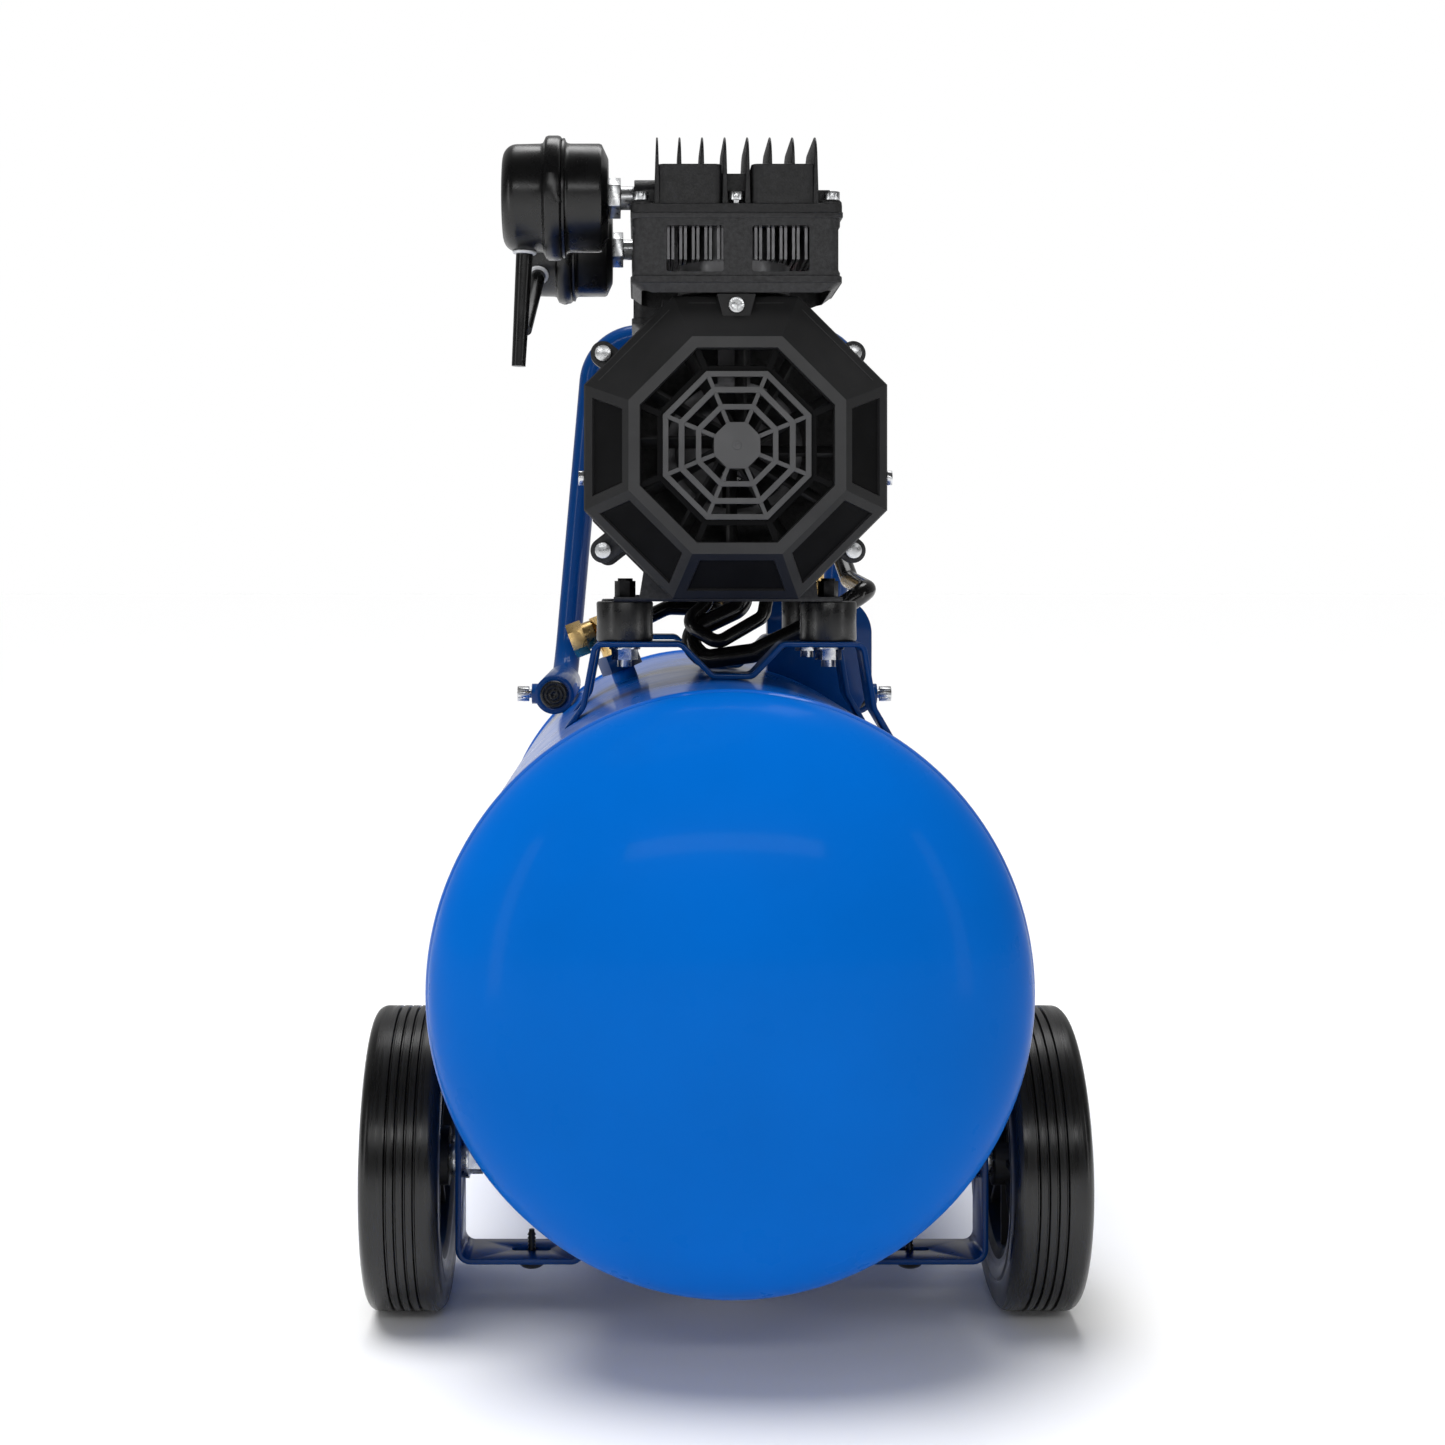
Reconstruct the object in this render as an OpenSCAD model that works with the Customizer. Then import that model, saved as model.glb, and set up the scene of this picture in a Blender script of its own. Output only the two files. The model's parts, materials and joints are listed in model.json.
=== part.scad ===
// Portable oil-free air compressor: a twin-cylinder motor pump on a wheeled horizontal tank.
// X points right, Y points away from the wheel end, Z points up; the floor is z = 0.

/* [Tank] */
// Outside diameter of the tank
tank_d = 300; // [280:5:300]
// Length of the straight shell between the weld seams
tank_len = 614; // [590:1:620]
// Depth of each domed head
dome_h = 70; // [55:1:80]
// Thickness of the tank's steel
tank_wall = 2.5; // [2:0.5:4]
// Height of the tank's axis above the floor
tank_z = 196.6; // [196:0.1:200]

/* [Wheels and feet] */
// Outside diameter of a wheel
wheel_d = 164; // [156:2:164]
// Width of a tyre
wheel_w = 42; // [38:1:42]
// Distance from the middle plane to a wheel's inner face
wheel_in = 150; // [149:0.5:151]
// Place of the axles along the tank
wheel_y = -177; // [-190:1:-160]
// Thickness of the bent steel strips
strip_t = 3; // [3:0.5:4]
// Width of the wheel bracket
bracket_w = 37; // [32:1:40]
// Height of the bracket's flat arms above the floor
bracket_z = 27; // [26:1:29]
// Place of the far feet along the tank
foot_y = 190; // [170:5:210]
// Distance of each far foot from the middle plane
foot_x = 105; // [95:5:110]

/* [Handle] */
// Diameter of the handle's tube
handle_d = 20; // [18:1:20]
// Outside diameter of a sleeve on the tank
sleeve_d = 27; // [26:1:28]
// Angle of each sleeve from the top of the tank
sleeve_angle = 39.5; // [38:0.5:41]
// Near end of the sleeves
sleeve_y = 113; // [110:1:120]
// Length of a sleeve
sleeve_len = 177; // [160:1:180]
// Place of the handle's uprights along the tank
handle_y = 338; // [336:1:345]
// Height of the handle's cross bar
handle_z = 595; // [560:5:600]
// Sideways lean of the handle in degrees
handle_lean = 6; // [0:0.5:6]
// Radius of the handle's bends
handle_bend = 38; // [34:1:40]

/* [Motor and pump] */
// Sideways place of the pump
pump_x = 7.5; // [5:0.5:8]
// Middle of the motor along the tank
pump_y = -79; // [-82:1:-76]
// Height of the crankshaft
shaft_z = 474.5; // [474:0.5:475]
// Distance of each cylinder from the motor's middle
cyl_s = 94; // [93:1:95]
// Width across the flats of a fan cover
cover_af = 166; // [162:1:166]
// Distance from the motor's middle to a cover's front face
cover_s = 139; // [139:0.5:140]
// Width across the flats of a cover's flat front frame
face_af = 117; // [112:1:120]
// Crank throw, half of the stroke
throw = 8; // [6:0.5:8]
// Cylinder bore
bore_d = 60; // [58:1:62]
// Width of a cylinder's shroud
shroud_w = 115; // [112:1:116]
// Depth of a cylinder's shroud
shroud_l = 74; // [70:1:76]

/* [Cradles] */
// Width of a cradle strap
cradle_w = 36; // [32:1:38]
// Distance between the two rows of rubber mounts
mount_pitch_y = 156; // [150:1:160]
// Distance between the two rubber mounts on a strap
mount_pitch_x = 115; // [113:1:116]
// Diameter of a rubber mount
mount_d = 32; // [30:1:34]
// Height of a rubber mount
mount_h = 22.5; // [22:0.5:23]

/* [Filters] */
// Height of the filters' axes
filter_z = 615; // [614:0.5:616]
// Diameter of a filter's canister
filter_d = 60; // [56:1:62]

/* [Controls] */
// Place of the manifold along the tank
ctrl_y = 140; // [136:1:145]
// Height of the manifold
ctrl_z = 435; // [430:1:440]

/* [Hidden] */
$fn = 64;

tank_r = tank_d / 2;
tank_top = tank_z + tank_r;
tank_bottom = tank_z - tank_r;
run_gap = 0.05;
body_gap = 0.4;

// Where the sleeves and the handle's legs run
leg_x = (tank_r + sleeve_d / 2) * sin(sleeve_angle);
leg_z = tank_z + (tank_r + sleeve_d / 2) * cos(sleeve_angle);
handle_r = handle_d / 2;
lean_x = (handle_z - leg_z) * tan(handle_lean);
screw_y = sleeve_y + 14;

// Where the pump's mounts stand
cradle_z = 366;
mount_z = cradle_z + strip_t / 2;
foot_z = mount_z + mount_h;
foot_t = 2.5;
foot_low = foot_z - shaft_z;
mount_shift = 3.4;
mount_xs = [pump_x - mount_shift - mount_pitch_x / 2, pump_x - mount_shift + mount_pitch_x / 2];
mount_ys = [pump_y - mount_pitch_y / 2, pump_y + mount_pitch_y / 2];

// Heights of the cylinder stack
block_z = 558;
gasket_z = 598;
plate_t = 3;
head_z = gasket_z + plate_t;
head_base = 8;
head_box_z = 628;
fin_tip_z = 644;
port_z = 618;
port_l = 26;
piston_top = 585;

// Distances from the motor's middle along its axis
core_s = 45;
wall_s = 50;
wall_t = 6;
case_s = 104;
fan_s = 120;
fan_w = 11;
case_r = 76;
screw_seat_s = cover_s - 11;
ecc_r = throw + 8;
eye_r = ecc_r + 2 * throw + 1;

// The wheel
tyre_groove = 1.6;
rim_r = 55;
axle_r = 6;
axle_z = wheel_d / 2;

// The check valve's foot on the tank
valve_angle = 21;
valve_y = 42;

// The riser under the manifold
riser_x = 78;
manifold_right = 94;
manifold_left = -18;
switch_x = 62;
reg_x = 8;
gauge_xs = [riser_x, reg_x];
safety_x = 44;

function unit(v) = v / norm(v);
function side_of(v) = [-v[1], v[0]];
function turn(u, v) = acos(max(-1, min(1, u * v)));
function spin(v, a) = [v[0] * cos(a) - v[1] * sin(a), v[0] * sin(a) + v[1] * cos(a)];

// One side of a bent strip in a plane: each inner corner of the path p becomes an arc of radius r
function corner_side(a, p, b, r, off) =
    let (u = unit(p - a), v = unit(b - p), th = turn(u, v))
    let (s = sign(u[0] * v[1] - u[1] * v[0]), c = p - u * r * tan(th / 2) + s * r * side_of(u))
    [for (k = [0 : 6]) c + spin(-s * (r - s * off) * side_of(u), s * th * k / 6)];
function strip_side(p, r, off) = let (n = len(p) - 1) concat(
    [p[0] + off * side_of(unit(p[1] - p[0]))],
    [for (i = [1 : n - 1]) each corner_side(p[i - 1], p[i], p[i + 1], r, off)],
    [p[n] + off * side_of(unit(p[n] - p[n - 1]))]);
function reversed(p) = [for (i = [len(p) - 1 : -1 : 0]) p[i]];

// A strip of thickness t bent along the path p in the XZ plane, w wide along Y, centred on y
module bent_strip(p, r, t, w, y) {
    translate([0, y + w / 2, 0]) rotate([90, 0, 0]) linear_extrude(w)
        polygon(concat(strip_side(p, r, t / 2), reversed(strip_side(p, r, -t / 2))));
}

// A round bar from a to b
module bar(a, b, r) {
    d = b - a;
    translate(a) rotate([0, acos(d[2] / norm(d)), atan2(d[1], d[0])]) cylinder(r = r, h = norm(d));
}

// A route in space with every inner corner rounded at radius r, in steps of n
function corner_arc(a, p, b, r, n) =
    let (u = unit(p - a), th = turn(u, unit(b - p)), w = unit(cross(u, b - p)))
    let (e = -cross(w, u), c = p - u * r * tan(th / 2) - e * r)
    [for (k = [0 : n]) c + r * (e * cos(th * k / n) + u * sin(th * k / n))];
function rounded(p, r, n) = concat([p[0]],
    [for (i = [1 : len(p) - 2]) each corner_arc(p[i - 1], p[i], p[i + 1], r, n)], [p[len(p) - 1]]);

// Directions along a route, and side vectors carried along it without twist
function tangents(p) = let (n = len(p) - 1)
    [for (i = [0 : n]) unit(p[min(i + 1, n)] - p[max(i - 1, 0)])];
function square_to(v, t) = unit(v - (v * t) * t);
function side_vectors(t, first) =
    [for (i = 0, v = square_to(first, t[0]); i < len(t);
        i = i + 1, v = square_to(v, t[min(i, len(t) - 1)])) v];
function rings(p, r, sides, first) = let (t = tangents(p), v = side_vectors(t, first))
    [for (i = [0 : len(p) - 1], k = [0 : sides - 1]) let (a = 360 * k / sides)
        p[i] + r * (v[i] * cos(a) + cross(t[i], v[i]) * sin(a))];

// A solid round bar swept along the points p
module sweep(p, r, sides, first) {
    n = len(p) - 1;
    polyhedron(rings(p, r, sides, first), concat(
        [[for (k = [0 : sides - 1]) k]],
        [for (i = [0 : n - 1], k = [0 : sides - 1]) let (j = (k + 1) % sides)
            [i * sides + k, (i + 1) * sides + k, (i + 1) * sides + j, i * sides + j]],
        [[for (k = [sides - 1 : -1 : 0]) n * sides + k]]));
}

// A hollow round tube swept along the points p
module sweep_hollow(p, r, bore, sides, first) {
    n = len(p) - 1;
    m = sides * (n + 1);
    polyhedron(concat(rings(p, r, sides, first), rings(p, bore, sides, first)), concat(
        [for (i = [0 : n - 1], k = [0 : sides - 1]) let (j = (k + 1) % sides)
            [i * sides + k, (i + 1) * sides + k, (i + 1) * sides + j, i * sides + j]],
        [for (i = [0 : n - 1], k = [0 : sides - 1]) let (j = (k + 1) % sides)
            [m + i * sides + j, m + (i + 1) * sides + j, m + (i + 1) * sides + k, m + i * sides + k]],
        [for (k = [0 : sides - 1]) let (j = (k + 1) % sides) [k, j, m + j, m + k]],
        [for (k = [0 : sides - 1]) let (j = (k + 1) % sides, q = n * sides)
            [q + j, q + k, m + q + k, m + q + j]]));
}

// A hexagon bar across the flats af, standing on z = 0
module hex(af, h) {
    cylinder(d = af / cos(30), h = h, $fn = 6);
}

// Turns a child that stands on +Z so that it points along +X, -X, +Y, -Y
module to_px() { rotate([0, 90, 0]) children(); }
module to_mx() { rotate([0, -90, 0]) children(); }
module to_py() { rotate([-90, 0, 0]) children(); }
module to_my() { rotate([90, 0, 0]) children(); }

// Both sides of the middle plane
module both_sides() {
    for (s = [-1, 1]) scale_side(s) children();
}
module scale_side(s) {
    if (s > 0) children();
    else mirror([1, 0, 0]) children();
}

// The two ends of the pump: a child is built with +Z pointing out along the shaft from the middle
module at_end(s) {
    translate([pump_x, pump_y, shaft_z])
        if (s < 0) rotate([90, 0, 0]) children();
        else mirror([0, 1, 0]) rotate([90, 0, 0]) children();
}
module pump_ends() {
    for (s = [-1, 1]) at_end(s) children();
}

// A cylinder's place: a child is built about the cylinder's axis, with its own heights
module at_cylinder(s) {
    translate([pump_x, pump_y + s * cyl_s, 0]) children();
}

module octagon(af) {
    rotate(22.5) circle(d = af / cos(22.5), $fn = 8);
}

// ---- tank -------------------------------------------------------------------------------------

// Half of a domed head's section, from the axis out to the shell
function dome_arc(r, h) = [for (a = [0 : 5 : 90]) [r * cos(a), h * sin(a)]];

module dome() {
    rotate_extrude($fn = 128) polygon(concat(
        dome_arc(tank_r, dome_h),
        reversed(dome_arc(tank_r - tank_wall, dome_h - tank_wall))));
}

module on_tank(angle, y) {
    translate([0, y, tank_z]) rotate([0, angle, 0]) translate([0, 0, tank_r]) children();
}

module boss_holes() {
    on_tank(-valve_angle, valve_y) translate([0, 0, -20]) cylinder(r = 8, h = 40);
    translate([riser_x, ctrl_y, tank_z + 90]) cylinder(r = 9, h = 60);
    translate([0, 60, tank_bottom - 10]) cylinder(r = 7, h = 20);
}

module tank_shell() {
    color([0.0, 0.28, 0.85]) difference() {
        translate([0, -tank_len / 2, tank_z]) to_py() difference() {
            union() {
                cylinder(r = tank_r, h = tank_len, $fn = 128);
                for (z = [0, tank_len - 4]) translate([0, 0, z])
                    cylinder(r = tank_r + 0.8, h = 4, $fn = 128);
            }
            translate([0, 0, -1]) cylinder(r = tank_r - tank_wall, h = tank_len + 2, $fn = 128);
        }
        boss_holes();
    }
}

module tank_front_head() {
    color([0.0, 0.28, 0.85]) translate([0, -tank_len / 2, tank_z]) to_my() dome();
}

module tank_rear_head() {
    color([0.0, 0.28, 0.85]) translate([0, tank_len / 2, tank_z]) to_py() dome();
}

module tank_bosses() {
    color([0.0, 0.26, 0.8]) {
        on_tank(-valve_angle, valve_y) translate([0, 0, -6]) difference() {
            cylinder(r = 8, h = 13);
            translate([0, 0, -1]) cylinder(r = 6, h = 15);
        }
        translate([riser_x, ctrl_y, tank_z + 118]) difference() {
            cylinder(r = 9, h = 18);
            translate([0, 0, -1]) cylinder(r = 6.5, h = 20);
        }
        translate([0, 60, tank_bottom - 7]) difference() {
            cylinder(r = 7, h = 12);
            translate([0, 0, -1]) cylinder(r = 5, h = 14);
        }
    }
}

module drain_valve() {
    color([0.8, 0.62, 0.3]) translate([0, 60, tank_bottom - 7]) {
        cylinder(r = 5, h = 11);
        translate([0, 0, -6]) hex(14, 6);
        translate([0, 0, -10]) cylinder(r = 4, h = 4);
    }
}

module drain_knob() {
    color([0.15, 0.15, 0.16]) translate([0, 60, tank_bottom - 27]) difference() {
        union() {
            cylinder(r = 9, h = 9.6);
            for (a = [0 : 30 : 330]) rotate(a) translate([9, 0, 0]) cylinder(r = 1.1, h = 9.6);
        }
        translate([0, 0, 2]) cylinder(r = 4 + run_gap, h = 10);
    }
}

// ---- wheels and feet --------------------------------------------------------------------------

saddle_r = tank_r + strip_t / 2;
function saddle(a0, a1) = [for (k = [0 : 6])
    let (a = a0 + (a1 - a0) * k / 6) [saddle_r * sin(a), tank_z - saddle_r * cos(a)]];

// The half of a bracket's path from its outer end to the saddle under the tank
arm_z = bracket_z + strip_t / 2;
wheel_plate_x = wheel_in - 5.5;
wheel_arm = [[-wheel_plate_x, 110], [-wheel_plate_x, arm_z], [-80, arm_z], [-54, 54]];
foot_arm_z = 31.5;
foot_arm = [[-foot_x - 22, foot_arm_z], [-80, foot_arm_z], [-54, 54]];

module saddle_strap(arm, w, y) {
    difference() {
        union() {
            both_sides() bent_strip(arm, 7, strip_t, w, y);
            translate([0, y + w / 2, tank_z]) rotate([90, 0, 0]) linear_extrude(w)
                intersection() {
                    difference() {
                        circle(r = tank_r + strip_t, $fn = 128);
                        circle(r = tank_r, $fn = 128);
                    }
                    polygon([[0, 0], [-62, -160], [62, -160]]);
                }
        }
        translate([0, y - w, tank_z]) to_py() cylinder(r = tank_r, h = 2 * w, $fn = 128);
    }
}

module wheel_bracket() {
    color([0.0, 0.22, 0.7]) difference() {
        saddle_strap(wheel_arm, bracket_w, wheel_y);
        translate([-160, wheel_y, axle_z]) to_px() cylinder(r = axle_r + 0.2, h = 320);
        both_sides() translate([foot_x, wheel_y, bracket_z - 1]) {
            translate([-8, -3, 0]) cube([16, 6, strip_t + 2]);
            for (x = [-8, 8]) translate([x, 0, 0]) cylinder(r = 3, h = strip_t + 2);
        }
        for (s = [-1, 1]) translate([-160, wheel_y + s * bracket_w / 2, 112]) rotate([45, 0, 0])
            translate([0, -5, -5]) cube([320, 10, 10]);
    }
}

module foot_bracket() {
    color([0.0, 0.22, 0.7]) difference() {
        saddle_strap(foot_arm, bracket_w, foot_y);
        both_sides() translate([foot_x, foot_y, foot_arm_z - 5]) cylinder(r = 4.2, h = 10);
    }
}

// A wheel's axle bolt on the right side: head outside, shank through wheel and bracket
module wheel_axles() {
    color([0.72, 0.73, 0.75]) both_sides() translate([0, wheel_y, axle_z]) {
        translate([wheel_in + wheel_w - 4, 0, 0]) to_px() hex(19, 7);
        translate([wheel_in - 22, 0, 0]) to_px() cylinder(r = axle_r, h = wheel_w + 18);
    }
}

function tyre_shape(r, w) = let (g = tyre_groove) concat(
    [[rim_r, 2], [rim_r + 8, 0.5], [r - 7, 0]],
    [for (a = [15 : 15 : 90]) [r - 7 + 7 * sin(a), 6 - 6 * cos(a)]],
    [for (x = [12, 17, 22, 27]) each [[r, x], [r - g, x + 0.1], [r - g, x + 1.1], [r, x + 1.2]]],
    [for (a = [90 : -15 : 15]) [r - 7 + 7 * sin(a), w - 6 + 6 * cos(a)]],
    [[r - 7, w], [rim_r + 8, w - 0.5], [rim_r, w - 2]]);

module tyre() {
    rotate_extrude($fn = 96) polygon(tyre_shape(wheel_d / 2, wheel_w));
}

module rim() {
    difference() {
        union() {
            rotate_extrude($fn = 96) polygon([[axle_r + run_gap, 0.5], [16, 0.5], [16, 13], [45, 15],
                [50, 4], [rim_r, 2], [rim_r, wheel_w - 2], [50, wheel_w - 4], [45, 21], [20, 19],
                [16, wheel_w - 4], [axle_r + run_gap, wheel_w - 4]]);
            for (a = [0 : 45 : 315]) rotate(a) translate([15, -1.6, 6]) cube([34, 3.2, wheel_w - 12]);
        }
        for (a = [22.5 : 45 : 337.5]) rotate(a) translate([33, 0, 0]) cylinder(r = 6, h = wheel_w);
    }
}

module at_wheel(s) {
    translate([s * wheel_in, wheel_y, axle_z]) rotate([0, s * 90, 0]) children();
}
module wheel_left_rim() { color([0.09, 0.09, 0.1]) at_wheel(-1) rim(); }
module wheel_right_rim() { color([0.09, 0.09, 0.1]) at_wheel(1) rim(); }
module wheel_left_tyre() { color([0.05, 0.05, 0.05]) at_wheel(-1) tyre(); }
module wheel_right_tyre() { color([0.05, 0.05, 0.05]) at_wheel(1) tyre(); }

module bumper_plugs() {
    color([0.06, 0.06, 0.06]) both_sides() translate([foot_x, wheel_y, bracket_z]) {
        translate([0, 0, -7]) rotate_extrude() polygon(concat([[0, 0]],
            [for (a = [0 : 15 : 90]) [3 + 5 * sin(a), 5 - 5 * cos(a)]], [[8, 7], [0, 7]]));
        cylinder(r = 1.6, h = strip_t + 11);
        for (z = [0 : 2 : 8]) translate([0, 0, strip_t + z]) cylinder(r1 = 2.4, r2 = 1.6, h = 1.6);
    }
}

module rubber_feet() {
    color([0.06, 0.06, 0.06]) both_sides() translate([foot_x, foot_y, 0]) difference() {
        rotate_extrude() polygon([[0, 0], [18, 0], [20, 3], [16.5, foot_arm_z - 1.5],
            [0, foot_arm_z - 1.5]]);
        translate([0, 0, -1]) cylinder(r = 8, h = 11);
        translate([0, 0, 5]) cylinder(r = 4, h = 40);
    }
}

// A nut with a flange, its flange at z = 0
module flange_nut(af, h, bore) {
    difference() {
        union() {
            cylinder(r = af * 0.68, h = 1.6);
            hex(af, h);
        }
        translate([0, 0, -1]) cylinder(r = bore, h = h + 2);
    }
}

module chassis_fasteners() {
    color([0.74, 0.75, 0.77]) {
        both_sides() translate([foot_x, foot_y, 0]) {
            translate([0, 0, 6]) hex(13, 4);
            translate([0, 0, 10]) cylinder(r = 4, h = foot_arm_z + 2);
            translate([0, 0, foot_arm_z + strip_t / 2]) flange_nut(13, 7, 4);
        }
        both_sides() translate([0, wheel_y, axle_z]) {
            translate([wheel_plate_x + strip_t / 2, 0, 0]) to_px() difference() {
                cylinder(r = 11, h = 3.6);
                translate([0, 0, -1]) cylinder(r = axle_r, h = 6);
            }
            translate([wheel_plate_x - strip_t / 2, 0, 0]) to_mx() difference() {
                cylinder(r = 12, h = 2);
                translate([0, 0, -1]) cylinder(r = axle_r, h = 6);
            }
            translate([wheel_plate_x - strip_t / 2 - 2, 0, 0]) to_mx() flange_nut(18, 9, axle_r);
        }
        for (x = mount_xs, y = mount_ys) translate([x, y, 0]) {
            translate([0, 0, cradle_z - strip_t / 2]) mirror([0, 0, 1]) flange_nut(13, 7.5, 4);
            translate([0, 0, cradle_z - 13]) cylinder(r = 4, h = 13 + strip_t / 2);
            translate([0, 0, foot_z]) cylinder(r = 4, h = 13);
            translate([0, 0, foot_z + foot_t]) hex(10, 9);
        }
    }
}

// ---- handle -----------------------------------------------------------------------------------

module sleeve_web() {
    difference() {
        translate([0, sleeve_y + 6, tank_z]) rotate([0, sleeve_angle, 0])
            translate([-4, 0, tank_r - 6]) cube([8, sleeve_len - 12, 9]);
        translate([0, sleeve_y, tank_z]) to_py() cylinder(r = tank_r, h = sleeve_len, $fn = 128);
    }
}

module handle_sleeves() {
    color([0.0, 0.2, 0.62]) both_sides() difference() {
        union() {
            translate([leg_x, sleeve_y, leg_z]) to_py() cylinder(d = sleeve_d, h = sleeve_len);
            sleeve_web();
            translate([leg_x + 8, screw_y, leg_z]) to_px() cylinder(r = 7, h = 8);
        }
        translate([leg_x, sleeve_y - 1, leg_z]) to_py()
            cylinder(r = handle_r + run_gap, h = sleeve_len + 2);
        translate([leg_x, screw_y, leg_z]) to_px() cylinder(r = 3 + run_gap, h = 30);
    }
}

handle_sides = 32;
function handle_path() = [
    [-leg_x, sleeve_y, leg_z], [-leg_x, handle_y, leg_z], [lean_x - leg_x, handle_y, handle_z],
    [lean_x + leg_x, handle_y, handle_z], [leg_x, handle_y, leg_z], [leg_x, sleeve_y, leg_z]];

// Two legs in the sleeves and a bent hoop between them, one tube
module handle_tube() {
    color([0.0, 0.2, 0.62]) sweep_hollow(rounded(handle_path(), handle_bend, 6),
        handle_r, handle_r - 1.5, handle_sides, [0, 0, 1]);
}

module handle_end_plugs() {
    color([0.07, 0.07, 0.08]) both_sides() translate([leg_x, sleeve_y, leg_z]) {
        to_my() rotate_extrude() polygon([[0, 0], [9.7, 0], [9.7, 1.4], [8.8, 2.4], [7.4, 2.4],
            [7.1, 1.8], [6.4, 1.8], [6.1, 2.4], [4.8, 2.4], [4.5, 1.8], [3.8, 1.8], [3.5, 2.4],
            [1.8, 2.4], [1.4, 1.6], [0, 1.6]]);
        to_py() cylinder(r = handle_r - 1.6, h = 16);
    }
}

// A knurled lock screw with its tip towards the tube
module lock_screw(s) {
    translate([s * leg_x, screw_y, leg_z]) rotate([0, s * 90, 0]) {
        translate([0, 0, handle_r + 0.3]) cylinder(r = 3, h = 9);
        translate([0, 0, handle_r + 8]) difference() {
            cylinder(r = 5.2, h = 8);
            translate([0, 0, 5]) cylinder(r = 2.6, h = 4, $fn = 6);
            for (a = [0 : 30 : 330]) rotate(a) translate([5.5, 0, -1]) cylinder(r = 0.6, h = 10, $fn = 4);
        }
    }
}
module lock_screw_left() { color([0.75, 0.76, 0.78]) lock_screw(-1); }
module lock_screw_right() { color([0.75, 0.76, 0.78]) lock_screw(1); }

// ---- cradles and mounts -----------------------------------------------------------------------

module motor_cradles() {
    trough_z = tank_top + strip_t / 2;
    path = [[-90, 312], [-76.5, 331], [-70, cradle_z], [-22, cradle_z], [-4, trough_z],
        [18, trough_z], [35, cradle_z], [80, cradle_z], [86, 330], [100, 306]];
    color([0.0, 0.3, 0.82]) for (y = mount_ys) difference() {
        bent_strip(path, 5, strip_t, cradle_w, y);
        translate([0, y - cradle_w, tank_z]) to_py() cylinder(r = tank_r, h = 2 * cradle_w, $fn = 128);
        for (x = mount_xs) translate([x, y, cradle_z - 5]) cylinder(r = 4.2, h = 10);
    }
}

module vibration_mounts() {
    r = mount_d / 2;
    color([0.12, 0.12, 0.12]) for (x = mount_xs, y = mount_ys) translate([x, y, mount_z])
        rotate_extrude() polygon(concat([[0, 0], [r, 0]],
            [for (k = [1 : 7]) [r - 1.6 * sin(180 * k / 8), mount_h * k / 8]], [[r, mount_h], [0, mount_h]]));
}

// ---- motor ------------------------------------------------------------------------------------

slots = 12;
module stator_core() {
    color([0.45, 0.46, 0.48]) at_end(-1) translate([0, 0, -core_s])
        difference() {
            cylinder(r = case_r - 2, h = 2 * core_s);
            translate([0, 0, -1]) cylinder(r = 37.5, h = 2 * core_s + 2);
            for (a = [0 : 360 / slots : 359]) rotate(a) translate([50, 0, -1])
                cylinder(r = 6, h = 2 * core_s + 2);
        }
}

module stator_windings() {
    color([0.72, 0.36, 0.16]) {
        for (a = [0 : 360 / slots : 359]) at_end(-1) rotate(a) translate([50, 0, -core_s])
            cylinder(r = 5.7, h = 2 * core_s);
    }
}

lug_angles = [38.2, 141.8, 218.2, 321.8];
lug_r = 7;
lug_shift = [-3.4, -1.4, 0];
module bolt_posts(r, z0, h) {
    translate(lug_shift) for (a = lug_angles) rotate(a) translate([88.4, 0, z0]) cylinder(r = r, h = h);
}

// A bolt lug with a round end, lying on +X
module lug() {
    translate([0, -lug_r]) square([88.4, 2 * lug_r]);
    translate([88.4, 0]) circle(r = lug_r);
}

// One crankcase: a drum with a bearing wall, a throat for the rod, bolt lugs and a foot
module crankcase() {
    difference() {
        union() {
            cylinder(r = case_r, h = case_s);
            translate([0, 0, case_s - 12]) linear_extrude(8)
                translate(lug_shift) for (a = lug_angles) rotate(a) lug();
            translate([-40, 0, cyl_s - 30]) cube([80, block_z - shaft_z, 36]);
            translate([0, 0, cyl_s - 34]) linear_extrude(34) polygon([
                [-67, foot_low], [61, foot_low], [61, foot_low + foot_t], [47, foot_low + foot_t],
                [45, -60], [40, -50], [-40, -50], [-49, -60], [-52.5, foot_low + foot_t],
                [-67, foot_low + foot_t]]);
        }
        translate([0, 0, -1]) cylinder(r = case_r - 2, h = wall_s + 1);
        translate([0, 0, wall_s + wall_t]) cylinder(r = case_r - 5, h = case_s);
        translate([0, 0, wall_s - 1]) cylinder(r = 16, h = wall_t + 2);
        translate([-24, 20, cyl_s - 22]) cube([48, 80, 40]);
        bolt_posts(3, case_s - 20, 30);
        for (x = [-mount_shift - mount_pitch_x / 2, mount_pitch_x / 2 - mount_shift])
            translate([x, foot_low - 1, mount_pitch_y / 2]) to_my() mirror([0, 0, 1])
                cylinder(r = 4.2, h = 8);
    }
}

module crankcases() {
    color([0.2, 0.2, 0.21]) pump_ends() crankcase();
}

// Cross-head bolt heads on the lugs, their long shanks, and the short side screws
module through_bolts() {
    color([0.78, 0.79, 0.81]) {
        at_end(-1) bolt_posts(2.6, 4 - case_s, 2 * case_s - 8);
        pump_ends() {
            bolt_posts(4.4, case_s - 4, 4);
            for (s = [-1, 1]) translate([s * cover_af / 2, -16.5, cover_s - 26]) rotate([0, s * 90, 0])
                cylinder(r = 4, h = 3);
            translate([0, 76.5, screw_seat_s]) difference() {
                cylinder(r = 4.2, h = 3.5);
                for (a = [0, 90]) rotate(a) translate([-2.4, -0.5, 2.5]) cube([4.8, 1, 2]);
            }
        }
    }
}

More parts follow.
